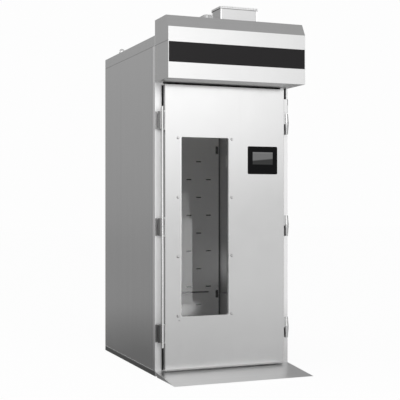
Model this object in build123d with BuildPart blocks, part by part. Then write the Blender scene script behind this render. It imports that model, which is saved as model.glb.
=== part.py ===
from build123d import *
import os
from math import atan2, cos, degrees, hypot, radians, sin

# Roll-in retarder proofer, in millimetres. X runs to the right, Y to the back and Z up, and the
# origin is the middle of the cabinet's footprint on the floor.

# Cabinet
body_width = 1000
body_depth = 1210
body_height = 2300
wall = 60
roof_thickness = 70
floor_thickness = 33
header_height = 287
stile_depth = 40
stile_bevel = 2
sheet = 1.5
threshold_thickness = 2

# Door and its seals
door_side_room = 55
door_bottom = 49
door_thickness = 36
seal_gap = 16
seal_lap = 25
seal_width = 18
seal_inset = 4
seal_clearance = 0.4
sweep_depth = 20
sweep_clearance = 2

# Window: sight size, the distance from the door's handle edge, the glass and its screws
window_width = 347
window_height = 1215
window_from_edge = 117
window_corner = 10
glass_lap = 18
glass_thickness = 6
spacer_reveal = 3
window_screw_offset = 24.5
window_screw_pitch = 401
window_screw_rows = 4
screw_head_radius = 5
screw_head_height = 2.4
screw_shank_radius = 2
screw_shank_length = 10
screw_slot = 1.2

# Touch screen on the door
panel_width = 227
panel_height = 194
panel_from_edge = 54
panel_rise = 458.5
panel_corner = 9
panel_thickness = 3
display_width = 154
display_height = 86
display_rise = 14
display_depth = 1
controller_width = 190
controller_height = 150
controller_depth = 24

# Hinges and handle fittings, three of each at the same heights
fitting_end_room = 240.5
hinge_out = 27
fitting_stand = 38
hinge_half_height = 73
hinge_radius = 15
hinge_end_radius = 10
hinge_pin_radius = 5
hinge_pin_reach = 55
hinge_leaf = 3
hinge_web = 10
frame_leaf = 4
frame_leaf_width = 36
split_gap = 0.5
running_clearance = 0.05

# Handle: a long bar on three levers, each with a claw that reaches behind a keeper's pin
handle_pivot_out = 9
handle_pivot_stand = 36
handle_pin_radius = 3
handle_hub_radius = 5.8
lever_half_height = 59
lever_web = 7
bracket_plate = 2.5
bracket_half_height = 63.5
bracket_ear = 4
bracket_margin = 3
bar_radius = 8
bar_out = 21
bar_stand = 58
bar_overhang = 29
bar_end_round = 3
keeper_pin_radius = 3.5
keeper_pin_inset = 30
keeper_pin_stand = 16
keeper_edge_gap = 2
keeper_width = 36
keeper_plate = 3
keeper_ear = 8
keeper_ear_radius = 6
keeper_half_height = 58
claw_half_height = 48
claw_thickness = 4.4
claw_clearance = 0.5
claw_start = 15
claw_sweep = 28
claw_arm_angle = 47

# Canopy above the door, with the dark band on its front
canopy_reach = 265
canopy_gap = 16
canopy_rise = 101
canopy_chamfer_reach = 46
canopy_chamfer_height = 81
band_rise = 105
band_height = 133
band_end_gap = 4
band_thickness = 2
switch_inset = 28
switch_stand = 59
switch_radius = 7
switch_length = 8
switch_shank_radius = 3.5
switch_shank_length = 24

# Switchgear on the canopy's back plate
rail_height = 35
rail_depth = 7
rail_length = 760
rail_rise = 166
contactor_width = 45
contactor_depth = 68
contactor_height = 78
contactor_pitch = 58
contactor_count = 5
contactor_start = -350
breaker_width = 17.5
breaker_depth = 62
breaker_height = 85
breaker_pitch = 18.5
breaker_count = 9
breaker_start = -30
supply_width = 150
supply_depth = 95
supply_height = 110
supply_middle = 270
terminal_step = 13
terminal_setback = 26

# Power cable gland on the canopy's back plate, above the roof
gland_inset = 170
gland_height = 45
gland_radius = 14
gland_length = 22
gland_nut_length = 7
gland_hex = 34
gland_bore = 7
gland_round = 3.5

# Air outlet on the roof, with its damper
vent_x = 140
vent_setback = 121
vent_width = 283
vent_depth = 161
vent_height = 246
vent_cap_height = 14
vent_cap_proud = 2
vent_liner_width = 250
vent_liner_depth = 130
vent_slot_pitch = 20
vent_slot_width = 8
vent_slot_height = 5.6
vent_top_slot_pitch = 24
flap_thickness = 2
flap_clearance = 3
flap_drop = 122
damper_shaft_radius = 4
damper_shaft_overhang = 55
damper_shaft_end = 12
actuator_width = 79
actuator_depth = 140
actuator_height = 180
actuator_gap = 35
actuator_slope = 34
actuator_edge = 12

# Lifting eyes
eye_ring_radius = 17.5
eye_wire_radius = 5
eye_collar_radius = 12.5
eye_collar_height = 8
eye_centre_height = 26
eye_side_inset = 50
eye_front_inset = 80
eye_back_inset = 290

# Air duct panel in front of the rear wall
duct_gap = 45
duct_side_gap = 5
duct_flange_clearance = 3
duct_floor_gap = 2
slot_length = 46
slot_height = 9
slot_pitch_x = 170
slot_columns = 5
slot_rows = 10
slot_foot = 161
slot_head = 449
hanger_inset = 23
hanger_foot = 387
hanger_head = 353
hanger_width = 14
hanger_height = 44
hook_width = 8
hook_height = 20
hook_shelf = 10
hook_tongue = 4

# False ceiling with two fans
plenum_height = 280
fan_side_room = 240
fan_ahead = 200
fan_radius = 116
fan_tip_gap = 8
fan_collar_height = 42
fan_flange = 14
fan_hub_radius = 38
fan_hub_height = 26
fan_blades = 5
fan_blade_chord = 66
fan_blade_pitch = 24
fan_blade_root = 20
fan_blade_thickness = 3
fan_base = 6
fan_shaft_radius = 5
fan_shaft_length = 30
motor_radius = 44
motor_height = 70
motor_cap_round = 8
motor_strut_width = 26
motor_strut_thickness = 3
guard_wire = 3
guard_rings = 5
guard_drop = 12
guard_radius = 132
guard_legs = 4
guard_leg_radius = 3

# Cold coil, its tray, the heaters and the pipes
coil_end_room = 90
coil_depth = 200
coil_height = 190
coil_setback = 440
coil_rise = 26.5
coil_fins = 21
coil_fin_thickness = 2
coil_end_plate = 3
coil_tube_overhang = 6
coil_tube_radius = 6
coil_tube_rows = 4
coil_tube_columns = 3
tray_margin = 15
tray_lip = 45
tray_height = 20
drain_radius = 10
drain_wall = 1.5
drain_stub = 40
drain_spigot_radius = 12.5
heater_radius = 4.25
heater_end_room = 30
heater_rise = 60
heater_turn = 15
heater_gap = 26
heater_bracket = 3
heater_bracket_fin = 2
pipe_stand = 40
pipe_bend = 20
pipe_wall = 1
liquid_radius = 5
suction_radius = 8
pipe_stub = 90
coupling_wall = 2
inlet_side_room = 110
inlet_ahead = 110
inlet_pipe_radius = 5
inlet_pipe_drop = 120
valve_width = 42
valve_depth = 60
valve_height = 50
nipple_radius = 13.2
nipple_length = 15

# Fittings in the chamber
rail_rod_radius = 6
rail_post_radius = 4
rail_post_inset = 12
rail_stand = 40
rail_level = 446
rail_end_gap = 75
rail_posts = 3
lamp_length = 480
lamp_width = 46
lamp_height = 16
lamp_round = 5
lamp_setback = 135
probe_radius = 6
probe_length = 90
probe_level = 1500
probe_ahead = 170
probe_bracket = 12

# Ramp in front of the threshold; its gussets start a little way in front of the cabinet
ramp_length = 384
ramp_plate = 3
ramp_gussets = 5
ramp_cheek_gap = 42

# Cable passage at the door's upper hinge corner
cable_box_drop = 161
cable_box_height = 51
cable_plate = 3
cable_plate_height = 95
cable_plate_width = 22
cable_box_radius = 8
cable_elbow_radius = 10
cable_elbow_height = 44
cable_elbow_width = 16
cable_spigot_radius = 5
cable_spigot_length = 31
cable_elbow_arm = 22
cable_elbow_round = 6
cable_gap = 2

# Places worked out from the sizes above
half_width = body_width / 2
front = -body_depth / 2
back = body_depth / 2
inner_half = half_width - wall
wall_top = body_height - roof_thickness
frame_back = front + stile_depth
header_bottom = wall_top - header_height
door_half = half_width - door_side_room
door_top = header_bottom + seal_lap
door_middle = (door_bottom + door_top) / 2
door_back = front - seal_gap
door_front = door_back - door_thickness
opening_half = door_half - seal_lap
core_front = door_front + sheet
core_back = door_back - sheet
window_x = -door_half + window_from_edge + window_width / 2
glass_width = window_width + 2 * glass_lap
glass_height = window_height + 2 * glass_lap
panel_x = door_half - panel_from_edge - panel_width / 2
panel_middle = door_middle + panel_rise
fitting_heights = [door_bottom + fitting_end_room, door_middle, door_top - fitting_end_room]
hinge_x = door_half + hinge_out
hinge_y = front - fitting_stand
handle_pivot = Vector(-door_half - handle_pivot_out, front - handle_pivot_stand)
bar_centre = Vector(-door_half - bar_out, front - bar_stand)
keeper_pin = Vector(-half_width + keeper_pin_inset, front - keeper_pin_stand)
cable_box_level = door_top - cable_box_drop
canopy_front = front - canopy_reach
canopy_bottom = door_top + canopy_gap
canopy_top = body_height + canopy_rise
band_bottom = canopy_bottom + band_rise
rail_middle = canopy_bottom + rail_rise
gland_x = half_width - gland_inset
vent_y = front + vent_setback
vent_top = body_height + vent_height
flap_height = vent_top - flap_drop
duct_front = back - wall - duct_gap
duct_half = inner_half - duct_side_gap
duct_bottom = floor_thickness + duct_floor_gap
ceiling_height = wall_top - plenum_height
ceiling_top = ceiling_height + sheet
slot_pitch_z = (ceiling_height - slot_head - duct_bottom - slot_foot) / (slot_rows - 1)
coil_length = 2 * (inner_half - coil_end_room)
coil_front = duct_front - coil_setback
coil_base = ceiling_top + coil_rise
fan_y = coil_front - fan_ahead
fan_x = inner_half - fan_side_room
fan_places = [(-fan_x, fan_y), (fan_x, fan_y)]
fan_level = ceiling_top + fan_base
fan_collar_radius = fan_radius + fan_tip_gap
collar_top = ceiling_top + fan_collar_height
coil_middle = coil_front + coil_depth / 2
coil_top = coil_base + coil_height
tube_step_y = coil_depth / coil_tube_columns
tube_step_z = coil_height / coil_tube_rows
pipe_x = coil_length / 2 + pipe_stand
pipe_places = [(pipe_x, coil_middle, liquid_radius), (pipe_x, coil_middle + tube_step_y, suction_radius)]
heater_length = coil_length - 2 * heater_end_room
fin_pitch = coil_length / (coil_fins - 1)
inlet_x = -inner_half + inlet_side_room
inlet_y = fan_y - inlet_ahead
inlet_place = (inlet_x, inlet_y)
lamp_y = frame_back + lamp_setback
probe_y = duct_front - probe_ahead
tray_back = coil_front + coil_depth + tray_margin
drain_level = ceiling_top + tray_height / 2
hanger_places = [
    (side * (duct_half - hanger_inset), level)
    for side in (-1, 1)
    for level in (duct_bottom + hanger_foot, ceiling_height - hanger_head)
]
window_screw_places = [
    (window_x + side * (window_width / 2 + window_screw_offset),
     door_middle + (row - (window_screw_rows - 1) / 2) * window_screw_pitch)
    for side in (-1, 1)
    for row in range(window_screw_rows)
]

os.makedirs("parts", exist_ok=True)


def save(piece, label):
    """Name a finished piece and write it."""
    piece.part.label = label
    export_step(piece.part, f"parts/{label}.step")


def block(x_span, y_span, z_span, mode=Mode.ADD):
    """A rectangular block between three pairs of coordinates."""
    spans = (x_span, y_span, z_span)
    middle = [(low + high) / 2 for low, high in spans]
    size = [high - low for low, high in spans]
    with Locations(tuple(middle)):
        Box(*size, mode=mode)


def bolt_hole(radius, depth, places, y_start):
    """Round holes along Y, starting at y_start and running back by depth."""
    with Locations(*[(x, y_start + depth / 2, z) for x, z in places]):
        Cylinder(radius, depth, rotation=(90, 0, 0), mode=Mode.SUBTRACT)


def strut(start, end, width):
    """A round-ended strip between two points of a sketch."""
    span = end - start
    with Locations((start + end) * 0.5):
        SlotCenterToCenter(span.length, width, rotation=degrees(atan2(span.Y, span.X)))


# The insulated cabinet: floor, two sides, rear and roof panels
with BuildPart() as floor_panel:
    block((-half_width, half_width), (front, back), (0, floor_thickness))
    chamfer(floor_panel.edges().filter_by(Axis.Z), sheet)
save(floor_panel, "floor_panel")


def side_wall(side):
    """One side panel: side is -1 on the left and 1 on the right."""
    with BuildPart() as panel:
        x_span = sorted((side * inner_half, side * half_width))
        block(x_span, (frame_back, back), (floor_thickness, wall_top))
        chamfer(panel.edges().filter_by(Axis.Z).group_by(Axis.Y)[-1].sort_by(Axis.X)[side == 1], sheet)
    return panel


save(side_wall(-1), "left_wall_panel")
save(side_wall(1), "right_wall_panel")

with BuildPart() as rear_wall_panel:
    block((-inner_half, inner_half), (back - wall, back), (floor_thickness, wall_top))
    bolt_hole(drain_radius, wall, [(0, drain_level)], back - wall)
    for x, level in hanger_places:
        hook_span = (x - hook_width / 2, x + hook_width / 2)
        shelf_top = level + hanger_height / 2
        shelf_bottom = shelf_top - hook_shelf
        block(hook_span, (duct_front - hook_tongue, back - wall), (shelf_bottom, shelf_top))
        block(hook_span, (duct_front - hook_tongue, duct_front), (shelf_bottom, shelf_bottom + hook_height))
save(rear_wall_panel, "rear_wall_panel")

with BuildPart() as roof_panel:
    block((-half_width, half_width), (front, back), (wall_top, body_height))
    chamfer(roof_panel.edges().filter_by(Axis.Z), sheet)
    with Locations((vent_x, vent_y, body_height)):
        Box(vent_liner_width, vent_liner_depth, 2 * roof_thickness, mode=Mode.SUBTRACT)
    for x, y, radius in pipe_places + [(*inlet_place, inlet_pipe_radius)]:
        with Locations((x, y, body_height)):
            Cylinder(radius, 2 * roof_thickness, mode=Mode.SUBTRACT)
save(roof_panel, "roof_panel")


# The door frame: two stiles and a header, with a plate over the threshold
def stile(side):
    """One upright of the door frame, bevelled along the door opening."""
    with BuildPart() as upright:
        x_span = sorted((side * opening_half, side * half_width))
        block(x_span, (front, frame_back), (floor_thickness, wall_top))
        opening_edge = upright.edges().filter_by(Axis.Z).group_by(Axis.Y)[0].sort_by(Axis.X)[side == -1]
        chamfer(opening_edge, stile_bevel)
    return upright


save(stile(-1), "left_stile")
save(stile(1), "right_stile")

with BuildPart() as header:
    block((-opening_half, opening_half), (front, frame_back), (header_bottom, wall_top))
    chamfer(header.edges().filter_by(Axis.X).group_by(Axis.Y)[0].sort_by(Axis.Z)[0], stile_bevel)
save(header, "header")

with BuildPart() as threshold_plate:
    threshold_top = floor_thickness + threshold_thickness
    block((-opening_half, opening_half), (front, frame_back), (floor_thickness, threshold_top))
    chamfer(threshold_plate.edges().filter_by(Axis.X).group_by(Axis.Z)[-1], threshold_thickness / 2)
save(threshold_plate, "threshold_plate")

# Keepers on the left stile: a plate with two ears that carry the pin which the claw grips
with BuildPart() as handle_keepers:
    for level in fitting_heights:
        plate_left = -half_width + keeper_edge_gap
        block((plate_left, plate_left + keeper_width),
              (front - keeper_plate, front),
              (level - lever_half_height, level + lever_half_height))
        for low in (level - keeper_half_height, level + keeper_half_height - keeper_ear):
            with BuildSketch(Plane.XY.offset(low)):
                with Locations(keeper_pin):
                    Circle(keeper_ear_radius)
                with Locations((keeper_pin.X, front - keeper_pin_stand / 2)):
                    Rectangle(2 * keeper_ear_radius, keeper_pin_stand)
            extrude(amount=keeper_ear)
        with Locations((keeper_pin.X, keeper_pin.Y, level)):
            Cylinder(keeper_pin_radius, 2 * keeper_half_height)
save(handle_keepers, "handle_keepers")


# Lift-off hinges: the lower knuckle is on the frame, the upper one on the door
hinge_axis = Axis((hinge_x, hinge_y, 0), (0, 0, 1))

with BuildPart() as hinge_frame_leaves:
    for level in fitting_heights:
        low = level - hinge_half_height
        high = level - split_gap / 2
        with BuildSketch(Plane.XZ.offset(-hinge_y)):
            with BuildLine():
                Polyline(
                    (hinge_x, high),
                    (hinge_x + hinge_radius, high),
                    (hinge_x + hinge_radius, high - hinge_end_radius),
                    (hinge_x + hinge_end_radius, low),
                    (hinge_x, low),
                    close=True,
                )
            make_face()
        revolve(axis=hinge_axis)
        block((hinge_x - frame_leaf_width / 2, hinge_x + frame_leaf_width / 2),
              (front - frame_leaf, front), (low, high))
        block((hinge_x - hinge_web / 2, hinge_x + hinge_web / 2), (hinge_y, front - frame_leaf), (low, high))
        with Locations((hinge_x, hinge_y, high)):
            Cylinder(hinge_pin_radius, 2 * hinge_pin_reach, mode=Mode.SUBTRACT)
save(hinge_frame_leaves, "hinge_frame_leaves")

with BuildPart() as hinge_pins:
    with Locations(*[(hinge_x, hinge_y, level - split_gap / 2) for level in fitting_heights]):
        Cylinder(hinge_pin_radius, 2 * hinge_pin_reach)
    chamfer(hinge_pins.edges().filter_by(GeomType.CIRCLE), 1)
save(hinge_pins, "hinge_pins")

with BuildPart() as hinge_door_leaves:
    for level in fitting_heights:
        low = level + split_gap / 2
        high = level + hinge_half_height
        with BuildSketch(Plane.XZ.offset(-hinge_y)):
            with BuildLine():
                Polyline(
                    (hinge_x, low),
                    (hinge_x + hinge_radius, low),
                    (hinge_x + hinge_radius, low + hinge_end_radius),
                    (hinge_x + hinge_end_radius, high),
                    (hinge_x, high),
                    close=True,
                )
            make_face()
        revolve(axis=hinge_axis)
        block((door_half, door_half + hinge_leaf),
              (door_front + bracket_margin, door_back - bracket_margin), (low, high))
        web_span = (hinge_y - hinge_web / 2, hinge_y + hinge_web / 2)
        block((door_half + hinge_leaf, hinge_x), web_span, (low, high))
        with Locations((hinge_x, hinge_y, low)):
            Cylinder(hinge_pin_radius + running_clearance, 2 * (hinge_pin_reach + 1), mode=Mode.SUBTRACT)
save(hinge_door_leaves, "hinge_door_leaves")


# The canopy: a bent cover, two sides, an underside and a back plate
def canopy_outline(inset):
    """The corners of the canopy's side outline, moved inwards by inset."""
    slope = canopy_chamfer_height / canopy_chamfer_reach
    knee = inset * (slope + 1 - hypot(1, slope))
    shoulder = inset * (hypot(1, slope) - 1) / slope
    return [
        (front, canopy_bottom),
        (canopy_front + inset, canopy_bottom),
        (canopy_front + inset, canopy_top - canopy_chamfer_height - inset * slope + knee),
        (canopy_front + canopy_chamfer_reach + shoulder, canopy_top - inset),
        (front, canopy_top - inset),
    ]


def canopy_side(side):
    """The flat cheek at one end of the canopy."""
    with BuildPart() as cheek:
        with BuildSketch(Plane.YZ.offset(side * half_width)):
            with BuildLine():
                Polyline(*canopy_outline(0), close=True)
            make_face()
        extrude(amount=-side * sheet)
    return cheek


save(canopy_side(-1), "canopy_left_side")
save(canopy_side(1), "canopy_right_side")

canopy_half = half_width - sheet
switch_place = (-half_width + switch_inset, front - switch_stand)

with BuildPart() as canopy_cover:
    with BuildSketch(Plane.YZ):
        with BuildLine():
            Polyline(*canopy_outline(0), close=True)
        make_face()
        with BuildLine():
            Polyline(*canopy_outline(sheet), close=True)
        make_face(mode=Mode.SUBTRACT)
    extrude(amount=canopy_half, both=True)
save(canopy_cover, "canopy_cover")

with BuildPart() as canopy_underside:
    underside_span = (canopy_front + sheet, front - sheet)
    block((-canopy_half, canopy_half), underside_span, (canopy_bottom, canopy_bottom + sheet))
    with Locations((*switch_place, canopy_bottom)):
        Cylinder(switch_shank_radius, 4 * sheet, mode=Mode.SUBTRACT)
save(canopy_underside, "canopy_underside")

with BuildPart() as canopy_back:
    block((-canopy_half, canopy_half), (front - sheet, front), (canopy_bottom, canopy_top - sheet))
    bolt_hole(gland_bore, 3 * sheet, [(gland_x, body_height + gland_height)], front - 2 * sheet)
save(canopy_back, "canopy_back")

with BuildPart() as front_band:
    band_half = half_width - band_end_gap
    block((-band_half, band_half), (canopy_front - band_thickness, canopy_front),
          (band_bottom, band_bottom + band_height))
    chamfer(front_band.edges().group_by(Axis.Y)[0], band_thickness / 4)
save(front_band, "front_band")

with BuildPart() as door_switch:
    with BuildSketch(Plane.XY.offset(canopy_bottom - switch_length)):
        with Locations(switch_place):
            Circle(switch_radius)
    extrude(amount=switch_length)
    fillet(door_switch.edges().filter_by(GeomType.CIRCLE).group_by(Axis.Z)[0], switch_radius / 3)
    with BuildSketch(Plane.XY.offset(canopy_bottom)):
        with Locations(switch_place):
            Circle(switch_shank_radius)
    extrude(amount=switch_shank_length)
save(door_switch, "door_switch")

# Switchgear: a rail on the back plate with contactors, breakers and the power supply on it
with BuildPart() as switchgear:
    plate_face = front - sheet
    rail_face = plate_face - rail_depth
    rail_span = (rail_middle - rail_height / 2, rail_middle + rail_height / 2)
    block((-rail_length / 2, rail_length / 2), (rail_face, plate_face), rail_span)
    contactor = (contactor_width, contactor_depth, contactor_height)
    breaker = (breaker_width, breaker_depth, breaker_height)
    supply = (supply_width, supply_depth, supply_height)
    devices = [(contactor_start + i * contactor_pitch, contactor) for i in range(contactor_count)]
    devices += [(breaker_start + i * breaker_pitch, breaker) for i in range(breaker_count)]
    devices += [(supply_middle, supply)]
    for x, (width, depth, height) in devices:
        x_span = (x - width / 2, x + width / 2)
        low = rail_middle - height / 2
        high = rail_middle + height / 2
        block(x_span, (rail_face - depth, rail_face), (low + terminal_step, high - terminal_step))
        block(x_span, (rail_face - depth + terminal_setback, rail_face), (low, high))
save(switchgear, "switchgear")

with BuildPart() as power_gland:
    gland_place = (gland_x, body_height + gland_height)
    with BuildSketch(Plane.XZ.offset(-front)):
        with Locations(gland_place):
            RegularPolygon(gland_hex / 2, 6)
    extrude(amount=-gland_nut_length)
    with BuildSketch(Plane.XZ.offset(-front)):
        with Locations(gland_place):
            Circle(gland_radius)
    extrude(amount=-gland_length)
    fillet(power_gland.edges().filter_by(GeomType.CIRCLE).group_by(Axis.Y)[-1], gland_round)
    bolt_hole(gland_bore, 2 * gland_length, [gland_place], front - gland_length)
save(power_gland, "power_gland")

# Air outlet: a collar through the roof, a slotted cap and a flap on a shaft
vent_collar_top = vent_top - vent_cap_height
with BuildPart() as vent_duct:
    with BuildSketch(Plane.XY.offset(body_height)):
        with Locations((vent_x, vent_y)):
            Rectangle(vent_width, vent_depth)
            Rectangle(vent_width - 2 * sheet, vent_depth - 2 * sheet, mode=Mode.SUBTRACT)
    extrude(amount=vent_collar_top - body_height)
    with BuildSketch(Plane.XY.offset(wall_top)):
        with Locations((vent_x, vent_y)):
            Rectangle(vent_liner_width, vent_liner_depth)
    extrude(amount=roof_thickness)
    with BuildSketch(Plane.XY.offset(body_height)):
        with Locations((vent_x, vent_y)):
            Rectangle(vent_width, vent_depth)
    extrude(amount=sheet)
    with BuildSketch(Plane.XY.offset(wall_top)):
        with Locations((vent_x, vent_y)):
            Rectangle(vent_liner_width - 2 * sheet, vent_liner_depth - 2 * sheet)
    extrude(amount=roof_thickness + sheet, mode=Mode.SUBTRACT)
    with Locations((vent_x, vent_y, flap_height)):
        shaft_hole = damper_shaft_radius + running_clearance
        Cylinder(shaft_hole, 2 * vent_width, rotation=(0, 90, 0), mode=Mode.SUBTRACT)
save(vent_duct, "vent_duct")

with BuildPart() as vent_cap:
    cap_width = vent_width + 2 * vent_cap_proud
    cap_depth = vent_depth + 2 * vent_cap_proud
    with BuildSketch(Plane.XY.offset(vent_collar_top)):
        with Locations((vent_x, vent_y)):
            Rectangle(cap_width, cap_depth)
    extrude(amount=vent_cap_height)
    chamfer(vent_cap.edges().group_by(Axis.Z)[-1], sheet)
    with BuildSketch(Plane.XY.offset(vent_collar_top)):
        with Locations((vent_x, vent_y)):
            Rectangle(cap_width - 2 * sheet - 2 * vent_cap_proud, cap_depth - 2 * sheet - 2 * vent_cap_proud)
    extrude(amount=vent_cap_height - sheet, mode=Mode.SUBTRACT)
    front_slots = int(vent_width / vent_slot_pitch)
    slot_middle = vent_top - vent_cap_height / 2
    with Locations((vent_x, vent_y, slot_middle)):
        with GridLocations(vent_slot_pitch, 0, front_slots, 1):
            Box(vent_slot_width, 2 * vent_depth, vent_slot_height, mode=Mode.SUBTRACT)
    side_slots = int(vent_depth / vent_slot_pitch)
    with Locations((vent_x, vent_y, slot_middle)):
        with GridLocations(0, vent_slot_pitch, 1, side_slots):
            Box(2 * vent_width, vent_slot_width, vent_slot_height, mode=Mode.SUBTRACT)
    top_slots = int((vent_depth - vent_top_slot_pitch) / vent_top_slot_pitch)
    with Locations((vent_x, vent_y, vent_top)):
        with GridLocations(0, vent_top_slot_pitch, 1, top_slots):
            Box(vent_width - 2 * vent_slot_pitch, vent_slot_width, 3 * sheet, mode=Mode.SUBTRACT)
save(vent_cap, "vent_cap")

with BuildPart() as damper_flap:
    with Locations((vent_x, vent_y, flap_height)):
        flap_margin = 2 * (sheet + flap_clearance)
        Box(vent_width - flap_margin, vent_depth - flap_margin, flap_thickness)
    shaft_length = vent_width + damper_shaft_overhang + damper_shaft_end
    shaft_middle = vent_x + (damper_shaft_end - damper_shaft_overhang) / 2
    with Locations((shaft_middle, vent_y, flap_height)):
        Cylinder(damper_shaft_radius, shaft_length, rotation=(0, 90, 0))
    chamfer(damper_flap.edges().filter_by(GeomType.CIRCLE).group_by(Axis.X)[0], 1)
save(damper_flap, "damper_flap")

with BuildPart() as actuator_housing:
    housing_right = vent_x - vent_width / 2 - actuator_gap
    housing_left = housing_right - actuator_width
    housing_front = vent_y - actuator_depth / 2
    block((housing_left, housing_right), (housing_front, housing_front + actuator_depth),
          (body_height, body_height + actuator_height))
    chamfer(actuator_housing.faces().sort_by(Axis.Z)[-1].edges().sort_by(Axis.X)[-1], actuator_slope)
    chamfer(actuator_housing.edges().filter_by(Axis.Z).group_by(Axis.X)[0], actuator_edge)
    with Locations((housing_right, vent_y, flap_height)):
        Cylinder(damper_shaft_radius + running_clearance, 2 * (damper_shaft_overhang + sheet),
                 rotation=(0, 90, 0), mode=Mode.SUBTRACT)
save(actuator_housing, "actuator_housing")

# Four lifting eyes on the roof
with BuildPart() as lifting_eyes:
    eye_places = [
        (side * (half_width - eye_side_inset), y)
        for side in (-1, 1)
        for y in (front + eye_front_inset, back - eye_back_inset)
    ]
    with Locations(*[(x, y, body_height) for x, y in eye_places]):
        Cylinder(eye_collar_radius, eye_collar_height, align=(Align.CENTER, Align.CENTER, Align.MIN))
    with Locations(*[(x, y, body_height + eye_centre_height) for x, y in eye_places]):
        Torus(eye_ring_radius, eye_wire_radius, rotation=(90, 0, 0))
save(lifting_eyes, "lifting_eyes")

# Slotted duct panel, hung on hooks in front of the rear wall
with BuildPart() as duct_panel:
    panel_span = (duct_bottom, ceiling_height)
    block((-duct_half, duct_half), (duct_front, duct_front + sheet), panel_span)
    for side in (-1, 1):
        flange_span = sorted((side * duct_half, side * (duct_half - sheet)))
        block(flange_span, (duct_front, back - wall - duct_flange_clearance), panel_span)
    slot_places = []
    for row in range(slot_rows):
        count = slot_columns - row % 2
        slot_places += [
            ((column - (count - 1) / 2) * slot_pitch_x, duct_bottom + slot_foot + row * slot_pitch_z)
            for column in range(count)
        ]
    with BuildSketch(Plane.XZ.offset(-duct_front)):
        with Locations(*slot_places):
            SlotOverall(slot_length, slot_height)
        with Locations(*hanger_places):
            Rectangle(hanger_width, hanger_height)
    extrude(amount=-2 * sheet, mode=Mode.SUBTRACT)
save(duct_panel, "duct_panel")

# False ceiling, with a hole for each fan
with BuildPart() as false_ceiling:
    block((-inner_half, inner_half), (frame_back, duct_front + sheet), (ceiling_height, ceiling_top))
    with BuildSketch(Plane.XY.offset(ceiling_height)):
        with Locations(*fan_places):
            Circle(fan_collar_radius)
    extrude(amount=sheet, mode=Mode.SUBTRACT)
save(false_ceiling, "false_ceiling")

with BuildPart() as fan_guards:
    guard_level = ceiling_height - guard_drop
    ring_pitch = guard_radius / guard_rings
    with BuildSketch(Plane.XY.offset(guard_level)):
        for ring in range(guard_rings, 0, -1):
            with Locations(*fan_places):
                Circle(ring * ring_pitch)
                Circle(ring * ring_pitch - guard_wire, mode=Mode.SUBTRACT)
        with Locations(*fan_places):
            with PolarLocations((guard_radius - guard_wire) / 2, guard_legs):
                Rectangle(guard_radius - guard_wire, guard_wire)
    extrude(amount=guard_wire)
    with Locations(*[(x, y, guard_level) for x, y in fan_places]):
        with PolarLocations(guard_radius - guard_wire / 2, guard_legs):
            Cylinder(guard_leg_radius, guard_drop, align=(Align.CENTER, Align.CENTER, Align.MIN))
save(fan_guards, "fan_guards")

# Each fan hangs in a flanged collar, from a motor on a strut across the top
with BuildPart() as fan_motors:
    for place in fan_places:
        with BuildSketch(Plane.XY.offset(ceiling_top)):
            with Locations(place):
                Circle(fan_collar_radius + fan_flange)
                Circle(fan_collar_radius, mode=Mode.SUBTRACT)
        extrude(amount=sheet)
        with BuildSketch(Plane.XY.offset(ceiling_top)):
            with Locations(place):
                Circle(fan_collar_radius + sheet)
                Circle(fan_collar_radius, mode=Mode.SUBTRACT)
        extrude(amount=fan_collar_height)
        with BuildSketch(Plane.XY.offset(collar_top)):
            with Locations(place):
                Rectangle(2 * (fan_collar_radius + sheet), motor_strut_width)
        extrude(amount=motor_strut_thickness)
        with BuildSketch(Plane.XY.offset(collar_top)):
            with Locations(place):
                Circle(motor_radius)
        extrude(amount=motor_height)
    fillet(fan_motors.edges().filter_by(GeomType.CIRCLE).group_by(Axis.Z)[-1], motor_cap_round)
    with Locations(*[(x, y, collar_top) for x, y in fan_places]):
        Cylinder(fan_shaft_radius + running_clearance, 2 * fan_shaft_length, mode=Mode.SUBTRACT)
save(fan_motors, "fan_motors")


def fan(place, turn):
    """One fan rotor with its shaft; turn is the sign of the blades' pitch."""
    x, y = place
    upward = (Align.CENTER, Align.CENTER, Align.MIN)
    with BuildPart() as rotor:
        with Locations((x, y, fan_level)):
            Cylinder(fan_hub_radius, fan_hub_height, align=upward)
        fillet(rotor.edges().filter_by(GeomType.CIRCLE).group_by(Axis.Z)[0], fan_blade_thickness)
        with Locations((x, y, fan_level + fan_hub_height / 2)):
            with PolarLocations(fan_blade_root, fan_blades):
                Box(fan_radius - fan_blade_root, fan_blade_chord, fan_blade_thickness,
                    rotation=(turn * fan_blade_pitch, 0, 0), align=(Align.MIN, Align.CENTER, Align.CENTER))
        with BuildSketch(Plane.XY.offset(ceiling_height)):
            with Locations(place):
                Circle(fan_radius)
        extrude(amount=collar_top - ceiling_height, mode=Mode.INTERSECT)
        shaft_top = collar_top + fan_shaft_length - split_gap
        with Locations((x, y, fan_level)):
            Cylinder(fan_shaft_radius, shaft_top - fan_level, align=upward)
    return rotor


save(fan(fan_places[0], 1), "fan_left")
save(fan(fan_places[1], -1), "fan_right")

# Cold coil: fins on straight tubes, over a tray that drains through the rear wall
with BuildPart() as evaporator_coil:
    with Locations((0, coil_middle, coil_base + coil_height / 2)):
        with GridLocations(fin_pitch, 0, coil_fins, 1):
            Box(coil_fin_thickness, coil_depth, coil_height)
    with BuildSketch(Plane.YZ.offset(-coil_length / 2 - coil_tube_overhang)):
        with Locations((coil_middle, coil_base + coil_height / 2)):
            with GridLocations(tube_step_y, tube_step_z, coil_tube_columns, coil_tube_rows):
                Circle(coil_tube_radius)
    extrude(amount=coil_length + 2 * coil_tube_overhang)
    for side in (-1, 1):
        plate_span = sorted((side * coil_length / 2, side * (coil_length / 2 + coil_end_plate)))
        block(plate_span, (coil_front, coil_front + coil_depth), (ceiling_top + sheet, coil_top))
save(evaporator_coil, "evaporator_coil")

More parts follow.
